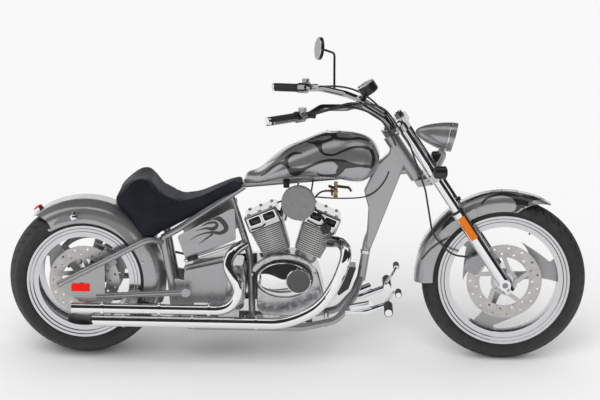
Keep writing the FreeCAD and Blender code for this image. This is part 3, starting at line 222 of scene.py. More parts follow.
class Finish:
    """A node material under construction, with short ways to add the nodes that these finishes use."""

    def __init__(self, name, colour, metallic=0.0, roughness=0.5, **others):
        self.material = bpy.data.materials.new(name)
        self.material.use_nodes = True
        self.nodes = self.material.node_tree.nodes
        self.links = self.material.node_tree.links
        self.shader = self.nodes["Principled BSDF"]
        self.shader.inputs["Base Color"].default_value = (*colour, 1)
        self.shader.inputs["Metallic"].default_value = metallic
        self.shader.inputs["Roughness"].default_value = roughness
        for socket, value in others.items():
            self.shader.inputs[socket.replace("_", " ")].default_value = value
        self.place = self.nodes.new("ShaderNodeTexCoord").outputs["Object"]

    def node(self, kind, **settings):
        made = self.nodes.new(kind)
        for key, value in settings.items():
            setattr(made, key, value)
        return made

    def join(self, source, target):
        self.links.new(source, target)

    def fill(self, socket, value):
        if isinstance(value, bpy.types.NodeSocket):
            self.join(value, socket)
        else:
            socket.default_value = value

    def maths(self, operation, first, second=0.0):
        made = self.node("ShaderNodeMath", operation=operation)
        for socket, value in zip(made.inputs, (first, second)):
            self.fill(socket, value)
        return made.outputs[0]

    def span(self, value, low, high, to_low, to_high, smooth=False):
        made = self.node("ShaderNodeMapRange")
        if smooth:
            made.interpolation_type = "SMOOTHSTEP"
        for key, item in zip(("Value", "From Min", "From Max", "To Min", "To Max"), (value, low, high, to_low, to_high)):
            self.fill(made.inputs[key], item)
        return made.outputs[0]

    def reach(self, x, z):
        """Distance from an axle that runs across the machine."""
        squares = self.maths("MULTIPLY", x, x), self.maths("MULTIPLY", z, z)
        return self.maths("SQRT", self.maths("ADD", *squares))

    def noise(self, scale, detail):
        made = self.node("ShaderNodeTexNoise")
        self.join(self.place, made.inputs["Vector"])
        made.inputs["Scale"].default_value = scale
        made.inputs["Detail"].default_value = detail
        return made.outputs["Fac"]

    def cells(self, scale, feature="DISTANCE_TO_EDGE"):
        made = self.node("ShaderNodeTexVoronoi", feature=feature)
        self.join(self.place, made.inputs["Vector"])
        made.inputs["Scale"].default_value = scale
        return made.outputs["Distance"]

    def local(self, centre):
        """Upright millimetres about a centre, whatever way the machine leans."""
        moved = self.node("ShaderNodeMapping", vector_type="TEXTURE")
        spot = STAND @ Vector(centre)
        self.join(self.place, moved.inputs["Vector"])
        moved.inputs["Location"].default_value = spot
        moved.inputs["Rotation"].default_value = (-LEAN, 0, 0)
        moved.inputs["Scale"].default_value = (MM, MM, MM)
        return moved.outputs["Vector"]

    def parts(self, vector):
        made = self.node("ShaderNodeSeparateXYZ")
        self.join(vector, made.inputs[0])
        return made.outputs

    def blend_colours(self, factor, first, second):
        made = self.node("ShaderNodeMix", data_type="RGBA")
        self.fill(made.inputs["Factor"], factor)
        for socket, value in ((made.inputs[6], first), (made.inputs[7], second)):
            self.fill(socket, value if isinstance(value, bpy.types.NodeSocket) else (*value, 1))
        return made.outputs[2]

    def colour(self, value):
        self.join(value, self.shader.inputs["Base Color"])

    def rough(self, value):
        self.join(value, self.shader.inputs["Roughness"])

    def bump(self, height, strength, distance):
        """Relief in millimetres."""
        made = self.node("ShaderNodeBump")
        made.inputs["Strength"].default_value = strength
        made.inputs["Distance"].default_value = distance * MM
        self.join(height, made.inputs["Height"])
        self.join(made.outputs["Normal"], self.shader.inputs["Normal"])


def silver_paint(settings):
    finish = Finish("silver_paint", settings.paint, metallic=0.7, roughness=0.3, Coat_Weight=1.0, Coat_Roughness=0.04)
    flakes = finish.noise(2600.0, 1.0)
    drift = finish.noise(9.0, 2.0)
    pale = [min(1.0, part * 1.16) for part in settings.paint]
    dark = [part * 0.86 for part in settings.paint]
    grain = finish.maths("ADD", finish.maths("MULTIPLY", flakes, 0.7), finish.maths("MULTIPLY", drift, 0.3))
    finish.colour(finish.blend_colours(finish.span(grain, 0.35, 0.65, 0.0, 1.0), dark, pale))
    finish.rough(finish.span(drift, 0.3, 0.7, 0.24, 0.34))
    finish.bump(flakes, 0.04, 0.2)
    return finish.material


def graphite_paint(name, colour):
    finish = Finish(name, colour, metallic=0.25, roughness=0.38, Coat_Weight=0.8, Coat_Roughness=0.05)
    flakes = finish.noise(2600.0, 1.0)
    drift = finish.noise(14.0, 2.0)
    finish.colour(finish.blend_colours(finish.span(flakes, 0.3, 0.7, 0, 1), [part * 0.75 for part in colour],
                                       [min(1, part * 1.3) for part in colour]))
    finish.rough(finish.span(drift, 0.3, 0.7, 0.26, 0.38))
    return finish.material


def chrome(name="chrome_plate", colour=(0.83, 0.84, 0.86), ripple=0.15):
    finish = Finish(name, colour, metallic=1.0, roughness=0.05)
    haze = finish.noise(60.0, 4.0)
    finish.rough(finish.span(haze, 0.3, 0.75, 0.03, 0.10))
    finish.bump(finish.noise(22.0, 1.0), ripple, 1.0)
    return finish.material


def polished_alloy():
    finish = Finish("polished_alloy", (0.72, 0.72, 0.74), metallic=1.0, roughness=0.22)
    cloud = finish.noise(45.0, 4.0)
    grain = finish.noise(900.0, 2.0)
    finish.rough(finish.maths("ADD", finish.span(cloud, 0.3, 0.7, 0.12, 0.26), finish.maths("MULTIPLY", grain, 0.06)))
    finish.colour(finish.blend_colours(finish.span(cloud, 0.35, 0.7, 0, 1), (0.42, 0.42, 0.43), (0.64, 0.64, 0.65)))
    finish.bump(grain, 0.08, 0.2)
    return finish.material


def satin_alloy(name, colour, roughness=0.45, metallic=0.6):
    finish = Finish(name, colour, metallic=metallic, roughness=roughness)
    cloud = finish.noise(70.0, 4.0)
    grain = finish.noise(1400.0, 2.0)
    finish.colour(finish.blend_colours(finish.span(cloud, 0.3, 0.7, 0, 1), [part * 0.88 for part in colour],
                                       [min(1, part * 1.1) for part in colour]))
    finish.rough(finish.span(cloud, 0.3, 0.7, roughness - 0.08, roughness + 0.08))
    finish.bump(grain, 0.12, 0.3)
    return finish.material


def wheel_alloy(name, centre, settings):
    """Polished rim, with the flat faces of the blades ground to a satin grey."""
    finish = Finish(name, (0.62, 0.62, 0.64), metallic=1.0, roughness=0.2)
    x, y, z = finish.parts(finish.local(centre))
    across = finish.maths("ABSOLUTE", y)
    radius = finish.reach(x, z)
    face = finish.maths("MULTIPLY", finish.maths("LESS_THAN", across, 13.5), finish.maths("GREATER_THAN", radius, 54.0))
    grain = finish.noise(500.0, 2.0)
    lathed = finish.maths("SINE", finish.maths("MULTIPLY", radius, 9.0))
    finish.colour(finish.blend_colours(face, (0.64, 0.64, 0.66), settings.blade))
    finish.rough(finish.maths("ADD", finish.maths("MULTIPLY", face, 0.28), finish.span(grain, 0.3, 0.7, 0.12, 0.22)))
    finish.bump(finish.maths("ADD", finish.maths("MULTIPLY", lathed, 0.3), grain), 0.06, 0.15)
    return finish.material


def disc_steel(name, centre):
    """Turned rings with a warm tint, as a used brake disc has."""
    finish = Finish(name, (0.50, 0.47, 0.44), metallic=1.0, roughness=0.3)
    x, y, z = finish.parts(finish.local(centre))
    radius = finish.reach(x, z)
    rings = finish.maths("SINE", finish.maths("MULTIPLY", radius, 6.5))
    wear = finish.noise(30.0, 4.0)
    finish.colour(finish.blend_colours(finish.span(wear, 0.3, 0.7, 0, 1), (0.42, 0.40, 0.385), (0.60, 0.585, 0.57)))
    finish.rough(finish.span(wear, 0.3, 0.7, 0.24, 0.40))
    finish.bump(rings, 0.15, 0.1)
    return finish.material


def tyre_rubber(name, centre, radius, half_tread, blocks):
    """Black rubber with slanting grooves across the tread and fine rings on the sidewall."""
    finish = Finish(name, (0.028, 0.029, 0.028), roughness=0.62, Specular_IOR_Level=0.35)
    x, y, z = finish.parts(finish.local(centre))
    reach = finish.reach(x, z)
    across = finish.maths("ABSOLUTE", y)
    turn = finish.maths("DIVIDE", finish.maths("ARCTAN2", z, x), math.tau)
    slant = finish.maths("ADD", finish.maths("MULTIPLY", turn, blocks), finish.maths("MULTIPLY", across, 0.016))
    saw = finish.maths("ABSOLUTE", finish.maths("SUBTRACT", finish.maths("FRACT", finish.maths("ADD", slant, 100.0)), 0.5))
    cut = finish.span(saw, 0.06, 0.10, 1.0, 0.0, smooth=True)
    inside = finish.maths("MULTIPLY", finish.span(across, half_tread * 0.16, half_tread * 0.20, 0, 1, True),
                          finish.span(across, half_tread * 0.94, half_tread * 1.02, 1, 0, True))
    middle = finish.span(finish.maths("ABSOLUTE", finish.maths("SUBTRACT", across, half_tread * 0.1)), 1.5, 2.6, 1, 0, True)
    on_tread = finish.maths("GREATER_THAN", reach, radius * 0.88)
    groove = finish.maths("MULTIPLY", finish.maths("MAXIMUM", finish.maths("MULTIPLY", cut, inside), middle), on_tread)
    rings = finish.maths("MULTIPLY", finish.maths("SINE", finish.maths("MULTIPLY", reach, 2.1)), 0.10)
    relief = finish.maths("SUBTRACT", finish.maths("MULTIPLY", rings, finish.maths("SUBTRACT", 1.0, on_tread)), groove)
    dust = finish.noise(40.0, 5.0)
    worn = finish.blend_colours(finish.span(dust, 0.35, 0.75, 0, 1), (0.024, 0.025, 0.024), (0.042, 0.042, 0.040))
    # The grooves are painted near black: painted shade in recesses that only the bump draws.
    finish.colour(finish.blend_colours(groove, worn, (0.006, 0.006, 0.006)))
    finish.rough(finish.span(dust, 0.3, 0.7, 0.54, 0.72))
    finish.bump(relief, 0.9, 3.0)
    return finish.material


def ribbed_rubber(name, colour=(0.022, 0.022, 0.023)):
    finish = Finish(name, colour, roughness=0.55)
    grain = finish.noise(700.0, 3.0)
    finish.rough(finish.span(grain, 0.3, 0.7, 0.48, 0.66))
    finish.bump(grain, 0.25, 0.3)
    return finish.material


def gloss_plastic(name, colour, roughness=0.2):
    finish = Finish(name, colour, roughness=roughness)
    cloud = finish.noise(120.0, 3.0)
    finish.rough(finish.span(cloud, 0.3, 0.7, roughness * 0.8, roughness * 1.3))
    finish.bump(cloud, 0.05, 0.3)
    return finish.material


def seat_leather(settings):
    finish = Finish("seat_leather", settings.leather, roughness=0.42, Specular_IOR_Level=0.05)
    pores = finish.cells(420.0)
    grain = finish.noise(160.0, 5.0)
    worn = finish.noise(7.0, 3.0)
    pale = [part * 1.5 + 0.004 for part in settings.leather]
    finish.colour(finish.blend_colours(finish.span(worn, 0.35, 0.7, 0, 1), settings.leather, pale))
    finish.rough(finish.maths("ADD", finish.span(worn, 0.3, 0.7, 0.34, 0.46), finish.maths("MULTIPLY", grain, 0.08)))
    relief = finish.maths("ADD", finish.span(pores, 0.0, 0.12, 0.0, 1.0), finish.maths("MULTIPLY", grain, 0.6))
    finish.bump(relief, 0.22, 0.35)
    return finish.material


def coloured_lens(name, colour, painted_glow=0.0):
    finish = Finish(name, colour, roughness=0.25, Specular_IOR_Level=0.12, Coat_Weight=0.05)
    # The emission is painted glow: the reflectors that wear these lenses are no lamps.
    finish.shader.inputs["Emission Color"].default_value = (*colour, 1)
    finish.shader.inputs["Emission Strength"].default_value = painted_glow
    prisms = finish.cells(240.0, "F1")
    finish.colour(finish.blend_colours(finish.span(prisms, 0.1, 0.7, 0, 1), colour, [part * 0.6 for part in colour]))
    finish.bump(prisms, 0.3, 0.6)
    return finish.material


def clear_glass():
    finish = Finish("clear_lens", (0.95, 0.97, 1.0), roughness=0.02, Transmission_Weight=1.0, IOR=1.45)
    ribs = finish.maths("SINE", finish.maths("MULTIPLY", finish.parts(finish.local((1550, 0, 966)))[1], 0.7))
    finish.bump(ribs, 0.35, 0.8)
    return finish.material


def braided(name):
    finish = Finish(name, (0.03, 0.03, 0.032), roughness=0.4)
    weave = finish.cells(900.0)
    finish.rough(finish.span(weave, 0.0, 0.2, 0.6, 0.3))
    finish.bump(weave, 0.3, 0.3)
    return finish.material


def build_finishes(settings):
    return {
        "silver": silver_paint(settings),
        "graphite": graphite_paint("graphite_flames", settings.graphite),
        # Grey for the lick on the rear fender, which is painted reflection.
        "painted_reflection_grey": graphite_paint("painted_reflection_grey", (0.16, 0.16, 0.165)),
        "shadow": graphite_paint("dark_flames", (0.012, 0.012, 0.013)),
        # Soot together with painted shade, for the dark plugs in the exhaust mouths.
        "soot_and_shade": satin_alloy("pipe_soot_and_shade", (0.02, 0.02, 0.02), 0.7, 0.3),
        "bolts": satin_alloy("bolt_steel", (0.55, 0.55, 0.56), 0.25, 1.0),
        "chrome": chrome(),
        "pipe": chrome("pipe_chrome", (0.86, 0.86, 0.87), 0.05),
        "mirror_chrome": chrome("cover_chrome", (0.86, 0.86, 0.87), 0.0),
        "head_chrome": chrome("head_chrome", (0.60, 0.60, 0.61), 0.1),
        "dark_chrome": chrome("bar_chrome", (0.36, 0.36, 0.37), 0.05),
        "smoke": coloured_lens("smoke_lens", (0.030, 0.016, 0.010)),
        "brass": satin_alloy("tap_brass", (0.36, 0.27, 0.14), 0.35, 0.9),
        "alloy": polished_alloy(),
        "cover": satin_alloy("cover_grey", (0.22, 0.22, 0.22), 0.5, 0.2),
        "dark_cover": satin_alloy("ignition_grey", (0.085, 0.085, 0.085), 0.5, 0.2),
        "grey": satin_alloy("caliper_grey", (0.35, 0.35, 0.36), 0.35, 0.9),
        "steel": satin_alloy("stand_steel", (0.30, 0.30, 0.31), 0.35, 1.0),
        "fins": satin_alloy("fin_alloy", (0.62, 0.62, 0.61), 0.34, 0.7),
        "rear_wheel": wheel_alloy("rear_wheel_alloy", REAR_AXLE, settings),
        "front_wheel": wheel_alloy("front_wheel_alloy", FRONT_AXLE, settings),
        "rear_disc": disc_steel("rear_disc_steel", REAR_AXLE),
        "front_disc": disc_steel("front_disc_steel", FRONT_AXLE),
        "rear_tyre": tyre_rubber("rear_tyre_rubber", REAR_AXLE, REAR_RADIUS, 98.0, 44.0),
        "front_tyre": tyre_rubber("front_tyre_rubber", FRONT_AXLE, FRONT_RADIUS, 46.0, 52.0),
        "rubber": ribbed_rubber("black_rubber"),
        "black": gloss_plastic("black_gloss", (0.014, 0.014, 0.015)),
        "leather": seat_leather(settings),
        # The glow on red and amber is painted glow on the reflectors, which are no lamps.
        "red": coloured_lens("red_lens", (0.85, 0.010, 0.004), 0.3),
        "amber": coloured_lens("amber_lens", (0.85, 0.20, 0.01), 0.15),
        "glass": clear_glass(),
        "mirror_glass": chrome("mirror_glass", (0.30, 0.31, 0.32), 0.0),
        "hose": braided("hose_sleeve"),
        "white": gloss_plastic("dial_white", (0.75, 0.75, 0.73), 0.4),
    }


CAD_FINISHES = {
    "silver": ("rear_fender", "front_fender", "fuel_tank", "side_panels", "oil_tank", "frame_neck", "frame_cradle",
               "swingarm", "headlight"),
    "head_chrome": ("rocker_boxes", "primary_cover"),
    "chrome": ("rear_lights", "cam_cover", "fuel_cap",
               "foot_controls", "fork_tubes", "fork_legs"),
    "dark_chrome": ("handlebar", "hand_controls"),
    "pipe": ("exhaust_upper", "exhaust_lower"),
    "alloy": ("rear_pulley", "crankcase", "intake", "gearbox", "fork_clamps"),
    "fins": ("cylinders",),
    "cover": ("air_cleaner",),
    "dark_cover": ("ignition_cover",),
    "grey": ("rear_caliper", "front_caliper"),
    "steel": ("rear_axle", "front_axle", "side_stand"),
    "rubber": ("drive_belt", "grips"),
    "black": ("rear_dampers", "regulator", "plug_cover", "mirror", "gauge", "front_signals"),
    "leather": ("seat",),
    "glass": ("headlight_lens",),
    "red": ("rear_reflector",),
    "amber": ("leg_reflectors",),
    "hose": ("brake_line",),
    "rear_wheel": ("rear_wheel",),
    "front_wheel": ("front_wheel",),
    "rear_disc": ("rear_brake_disc",),
    "front_disc": ("front_brake_disc",),
    "rear_tyre": ("rear_tyre",),
    "front_tyre": ("front_tyre",),
}
# Every finish by its key, filled when the finishes step runs.
FINISHES = {}


def dress_solids():
    for key, names in CAD_FINISHES.items():
        for name in names:
            node = frame["nodes"][name]
            if not node.material_slots:
                node.data.materials.append(FINISHES[key])
            for place in node.material_slots:
                place.material = FINISHES[key]


# Seat

def make_seat(settings):
    """The padded saddle: the solid's own form, swollen a little as foam under leather, then smoothed."""
    source = frame["nodes"]["seat"]
    mesh = source.data.copy()
    mesh.name = "saddle"
    saddle = bpy.data.objects.new("saddle", mesh)
    bpy.context.scene.collection.objects.link(saddle)
    bm = bmesh.new()
    bm.from_mesh(mesh)
    bmesh.ops.remove_doubles(bm, verts=bm.verts, dist=0.0001)
    bm.to_mesh(mesh)
    bm.free()
    bpy.context.view_layer.objects.active = saddle
    remesh = saddle.modifiers.new("even", "REMESH")
    remesh.mode = "VOXEL"
    remesh.voxel_size = settings.seat_voxel * MM
    bpy.ops.object.modifier_apply(modifier=remesh.name)
    soften = saddle.modifiers.new("soften", "SMOOTH")
    soften.factor = 0.5
    soften.iterations = 40
    bpy.ops.object.modifier_apply(modifier=soften.name)
    swell(saddle, settings)
    relax = saddle.modifiers.new("relax", "SMOOTH")
    relax.factor = 0.5
    relax.iterations = 4
    bpy.ops.object.modifier_apply(modifier=relax.name)
    subdivision = saddle.modifiers.new("smooth", "SUBSURF")
    subdivision.levels = subdivision.render_levels = 1
    saddle.data.materials.clear()
    saddle.data.materials.append(FINISHES["leather"])
    for polygon in saddle.data.polygons:
        polygon.use_smooth = True
    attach(saddle, "frame")
    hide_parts("seat")


def swell(piece, settings):
    """A short cloth run under pressure, with each point's move capped."""
    rest = [vert.co.copy() for vert in piece.data.vertices]
    cloth = piece.modifiers.new("foam", "CLOTH")
    cloth.settings.use_pressure = True
    cloth.settings.uniform_pressure_force = 4.0
    cloth.settings.effector_weights.gravity = 0.0
    cloth.settings.quality = 5
    scene = bpy.context.scene
    for number in range(1, 13):
        scene.frame_set(number)
    bpy.context.view_layer.objects.active = piece
    bpy.ops.object.modifier_apply(modifier=cloth.name)
    scene.frame_set(1)
    limit = settings.seat_swell * MM
    for vert, home in zip(piece.data.vertices, rest):
        move = vert.co - home
        if move.length > limit:
            vert.co = home + move.normalized() * limit


# Flames

def smooth_line(points, steps):
    """Points along a curve through given (x, z, half width) places."""
    ends = [points[0]] + list(points) + [points[-1]]
    line = []
    for before, first, second, after in zip(ends, ends[1:], ends[2:], ends[3:]):
        for step in range(steps):
            share = step / steps
            line.append(tuple(
                0.5 * (2 * b + (c - a) * share + (2 * a - 5 * b + 4 * c - d) * share ** 2
                       + (3 * b - a - 3 * c + d) * share ** 3)
                for a, b, c, d in zip(before, first, second, after)))
    line.append(tuple(points[-1]))
    return line


def add_lick(bm, points, steps=8, across=4, fuller=1.3):
    """One flame lick: a grid bent along its line, its width following the points."""
    line = smooth_line(points, steps)
    count = len(line) - 1
    made = bmesh.ops.create_grid(bm, x_segments=count, y_segments=across, size=1.0)
    for vert in made["verts"]:
        along = round((vert.co.x + 1) / 2 * count)
        here = Vector(line[along][:2])
        ahead = Vector(line[min(along + 1, count)][:2]) - Vector(line[max(along - 1, 0)][:2])
        normal = Vector((-ahead.y, ahead.x)).normalized()
        spot = here + normal * (vert.co.y * max(line[along][2] * fuller, 0.15))
        vert.co = (spot.x, 0.0, spot.y)


def lay_on(bm, node, side, lift=0.5):
    """Presses a flat drawing on to a painted solid, along the slope that the machine is looked at."""
    mesh = frame["nodes"][node].data
    back = STAND.inverted()
    tree = BVHTree.FromPolygons([back @ vert.co for vert in mesh.vertices], [list(face.vertices) for face in mesh.polygons])
    lost = []
    for vert in bm.verts:
        origin = Vector((vert.co.x, side * 400.0, vert.co.z + 400.0 * SIGHT_SLOPE))
        spot, normal, _, _ = tree.ray_cast(origin, Vector((0, -side, -SIGHT_SLOPE)))
        if spot is None or spot.y * side < 0:
            lost.append(vert)
        else:
            outward = Vector((0, side, SIGHT_SLOPE))
            vert.co = spot + (normal if normal.dot(outward) > 0 else -normal) * lift
    bmesh.ops.delete(bm, geom=lost, context="VERTS")


SIGHT_SLOPE = 0.19
TANK_LICKS = [
    [(771, 831, 1.6), (808, 855, 4.0), (852, 887, 4.4), (891, 913, 4.4), (930, 930, 4.8), (974, 947, 4.4), (1017, 961, 4.8),
     (1056, 963, 6.4), (1066, 961, 4.0)],
    [(1056, 963, 8.7), (1057, 953, 9.5), (1072, 944, 5.2), (1112, 942, 4.8), (1159, 946, 4.0), (1190, 942, 3.2), (1206, 937, 1.2)],
    [(1057, 950, 5.6), (1037, 938, 4.8), (1013, 930, 4.8), (986, 925, 7.1), (962, 924, 4.0), (942, 926, 2.0)],
    [(988, 925, 13.5), (995, 908, 8.7), (1003, 888, 4.4), (1021, 875, 4.0), (1056, 874, 3.6), (1088, 888, 3.6), (1131, 906, 3.6),
     (1171, 910, 4.0), (1202, 903, 4.8), (1218, 884, 5.6), (1223, 856, 6.4), (1218, 832, 6.0), (1211, 817, 2.4)],
    [(747, 778, 2.0), (769, 790, 3.6), (797, 814, 4.0), (828, 833, 4.0), (848, 833, 6.0), (864, 820, 4.8), (875, 805, 8.7),
     (895, 798, 14.3), (923, 806, 7.1), (954, 822, 4.4), (993, 840, 4.8), (1033, 850, 4.8), (1060, 849, 6.0), (1092, 836, 15.1),
     (1127, 831, 9.5), (1167, 829, 4.8), (1218, 825, 5.6)],
    [(1096, 829, 11.9), (1080, 805, 10.3), (1068, 789, 5.2), (1037, 785, 4.0), (1009, 785, 3.6), (986, 794, 3.2)],
    [(855, 832, 9.5), (858, 852, 6.0), (875, 871, 4.8), (895, 879, 4.0), (923, 877, 1.6)],
]
PANEL_LICKS = [
    [(473, 565, 0.6), (513, 578, 4.0), (548, 593, 6.3), (576, 590, 8.0), (599, 568, 8.0), (605, 545, 7.5), (582, 529, 5.8),
     (553, 531, 4.6), (525, 529, 2.9), (485, 516, 1.7), (451, 495, 0.6)],
    [(502, 557, 1.1), (530, 571, 3.4), (559, 574, 4.0), (566, 560, 5.2), (549, 546, 6.3), (519, 548, 2.9), (473, 535, 0.6)],
    [(491, 480, 0.6), (519, 502, 2.3), (549, 524, 3.4)],
]
FRONT_FENDER_LICKS = [
    [(1683, 668, 1.5), (1698, 691, 3.4), (1729, 708, 3.9), (1768, 716, 4.9), (1807, 712, 6.9), (1834, 699, 12.7), (1852, 681, 21.6),
     (1852, 660, 18.6), (1834, 642, 9.8), (1812, 637, 2.9)],
    [(1856, 699, 10.8), (1886, 699, 12.7), (1908, 701, 6.9), (1934, 699, 2.9), (1956, 694, 1.0)],
    [(1622, 679, 1.5), (1671, 704, 2.9), (1720, 720, 2.9), (1768, 727, 2.5), (1842, 725, 1.5)],
    [(1422, 455, 2.9), (1456, 516, 5.4), (1490, 556, 7.3), (1524, 592, 8.3), (1553, 622, 6.9), (1578, 636, 2.9)],
    [(1436, 426, 2.5), (1475, 475, 3.4), (1524, 511, 3.9), (1573, 537, 3.4), (1607, 554, 2.0)],
    [(1519, 557, 2.0), (1544, 591, 7.3), (1573, 612, 8.3), (1605, 620, 3.4)],
]


def rear_fender_painted_reflection():
    """A broad grey lick along the lower edge of the rear fender, from its tail to the strut, which is painted
    reflection.
    """
    points = ((119, 256, 2), (110, 262, 10), (95, 268, 14), (80, 270, 15), (65, 269, 15), (52, 266, 14), (40, 260, 12), (30, 254, 6))
    line = []
    for angle, radius, width in points:
        spot = round_axle(REAR_AXLE, radius, angle)
        line.append((spot.x, spot.z, width))
    return [line]


def make_flames():
    jobs = [("tank", "fuel_tank", TANK_LICKS, "frame", "graphite"), ("panel", "side_panels", PANEL_LICKS, "frame", "shadow"),
            # The rear fender's grey lick is painted reflection, not flame paint.
            ("rear_fender", "rear_fender", rear_fender_painted_reflection(), "frame", "painted_reflection_grey"),
            ("front_fender", "front_fender", FRONT_FENDER_LICKS, "steering", "graphite")]
    for label, node, licks, body, finish in jobs:
        for side, word in ((-1, "right"), (1, "left")):
            bm = bmesh.new()
            for lick in licks:
                add_lick(bm, lick)
            lay_on(bm, node, side)
            add_flat(f"{label}_flames_{word}", bm, finish, body)


def add_flat(name, bm, finish, body):
    """A paint film: open and thin, so its faces keep the way that they look."""
    mesh = bpy.data.meshes.new(name)
    bm.normal_update()
    centre = sum((vert.co for vert in bm.verts), Vector()) / max(1, len(bm.verts))
    way = 1 if centre.y > 0 else -1
    flip = [face for face in bm.faces if face.normal.y * way < 0]
    bmesh.ops.reverse_faces(bm, faces=flip)
    bm.to_mesh(mesh)
    bm.free()
    mesh.transform(STAND)
    stand_piece(name, mesh, finish, body)


# Engine details

def on_side(x, y, z, side=-1):
    """A flat drawing's place on a side face: its X runs along the machine and its Z outward."""
    return Matrix(((-side, 0, 0, x), (0, 0, side, y), (0, 1, 0, z), (0, 0, 0, 1)))


def head_place(way):
    return Matrix.Translation(CRANK) @ Matrix.Rotation(math.radians(22.5 * way), 4, "Y")


def box_outline(x0, x1, y0, y1, corner=3.0):
    """A rectangle with cut corners."""
    return [(x0 + corner, y0), (x1 - corner, y0), (x1, y0 + corner), (x1, y1 - corner), (x1 - corner, y1), (x0 + corner, y1),
            (x0, y1 - corner), (x0, y0 + corner)]


HEAD_TOP = 298.0
HEAD_SIDE = 84.0


def make_heads():
    """Dark plates with raised rims on the rocker boxes, which are painted reflection of the dark that their chrome
    mirrors, a thin dark streak that is painted reflection too, cap bolts, and the joint line over the fins.
    """
    dark, rims, bolts = bmesh.new(), bmesh.new(), bmesh.new()
    for way in (-1, 1):
        for side in (-1, 1):
            face = side * (HEAD_SIDE + 0.2)
            # These dark plates are painted reflection: the dark that the chrome of the boxes mirrors from above.
            for low, high in ((-61, -3), (3, 61)):
                place = head_place(way) @ on_side(0, face, HEAD_TOP, side)
                add_plate(dark, box_outline(low + 4, high - 4, 26, 57, 5), 1.6, place)
                add_frame(rims, box_outline(low, high, 22, 61, 7), 4.0, 3.2, place)
            add_plate(dark, box_outline(-66, 66, -2.5, 2.5, 1), 1.2, head_place(way) @ on_side(0, face, HEAD_TOP, side))
            # This thin dark streak is painted reflection as well; the strip above is the real joint line.
            add_plate(dark, [(-62, 8), (-10, 4), (8, 12), (2, 17), (-12, 11), (-60, 15)], 1.2,
                      head_place(way) @ on_side(0, face, HEAD_TOP, side))
        for x, y in ((-58, -62), (58, -62), (-58, 62), (58, 62), (0, -62), (0, 62)):
            spot = head_place(way) @ Vector((x * 0.86, y, HEAD_TOP + 70))
            add_bolt(bolts, spot, (head_place(way).to_3x3() @ Vector((0, 0, 1))), 7, 6)
    add_piece("rocker_painted_reflections_and_joint", dark, "black")
    sharpen(add_piece("rocker_window_rims", rims, "chrome"))
    sharpen(add_piece("rocker_bolts", bolts, "bolts"))


def add_frame(bm, outline, width, thickness, place):
    """A raised rim: a plate whose middle is inset and pressed back."""
    verts = [bm.verts.new((x, y, 0.0)) for x, y in outline]
    face = bm.faces.new(verts)
    made = bmesh.ops.extrude_face_region(bm, geom=[face])
    raised = [item for item in made["geom"] if isinstance(item, bmesh.types.BMVert)]
    cap = [item for item in made["geom"] if isinstance(item, bmesh.types.BMFace)]
    bmesh.ops.translate(bm, vec=(0, 0, thickness), verts=raised)
    before = set(bm.verts)
    bmesh.ops.inset_region(bm, faces=cap, thickness=width)
    inner = [vert for vert in bm.verts if vert not in before]
    deep = bmesh.ops.extrude_face_region(bm, geom=cap)
    sunk = [item for item in deep["geom"] if isinstance(item, bmesh.types.BMVert)]
    bmesh.ops.translate(bm, vec=(0, 0, -thickness * 0.9), verts=sunk)
    bmesh.ops.delete(bm, geom=cap, context="FACES")
    bmesh.ops.transform(bm, matrix=place, verts=list(set(verts + raised + inner + sunk)))


CAM_CENTRE = CRANK + Vector((-33.0, 0.0, 55.0))


def cam_place(depth):
    """The oval cover's own frame, its Z straight out of the right side."""
    return Matrix.Translation(CAM_CENTRE + SIDE * depth) @ on_side(0, 0, 0)


def add_oval(bm, profile, long_half, short_half, place):
    """A profile of (share of the half width, height) turned and stretched to an oval."""
    turned(bm, profile, place @ Matrix.Diagonal((long_half, short_half, 1, 1)), 72)


def make_cam_cover():
    """The domed oval cover that mirrors the room, its dark joint, and the arch of the case over it."""
    bm = bmesh.new()
    add_oval(bm, [(0, 51), (0.06, 50.6), (0.15, 49.2), (0.3, 45.9), (0.45, 42.3), (0.6, 38.5), (0.75, 34.2), (0.86, 30.2), (0.93, 26.4),
                  (0.97, 22.6), (0.99, 18), (1.0, 13), (1.0, 0), (0, 0)], 118, 77, cam_place(-95.0))
    shell = add_piece("cam_cover_shell", bm, "mirror_chrome")
    sharpen(shell, 50)
    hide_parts("cam_cover")
    bm = bmesh.new()
    add_oval(bm, [(0.9, 0), (0.9, 5), (1, 5), (1, 0), (0.9, 0)], 124, 83, cam_place(-95.0))
    sharpen(add_piece("cam_cover_joint", bm, "black"))
    bm = lathe([(0, 0), (53, 0), (53, 22), (50.5, 24), (0, 24)], CRANK + Vector((30, -132, 58)), (0, -1, 0), 56)
    sharpen(add_piece("ignition_seat", bm, "chrome"))
    bm = bmesh.new()
    outer = [(math.cos(math.radians(turn)) * 146, math.sin(math.radians(turn)) * 112) for turn in range(18, 163, 9)]
    inner = [(math.cos(math.radians(turn)) * 127, math.sin(math.radians(turn)) * 87) for turn in range(162, 17, -9)]
    add_plate(bm, outer + inner, 12, cam_place(-95.0), 3)
    sharpen(add_piece("case_arch", bm, "alloy"))
    bm = bmesh.new()
    for x, z in ((-128, 20), (-104, 66), (-60, 94), (0, 104), (58, 96), (102, 70), (128, 24)):
        add_bolt(bm, CAM_CENTRE + Vector((x * 1.06, -107, z * 0.98)), (0, -1, 0), 6.5, 6)
    for x, z in ((-150, -60), (-130, -104), (60, -108), (118, -62), (124, 6)):
        add_bolt(bm, CRANK + Vector((x * 0.9, -95, z * 0.86)), (0, -1, 0), 8, 8)
    sharpen(add_piece("case_bolts", bm, "bolts"))


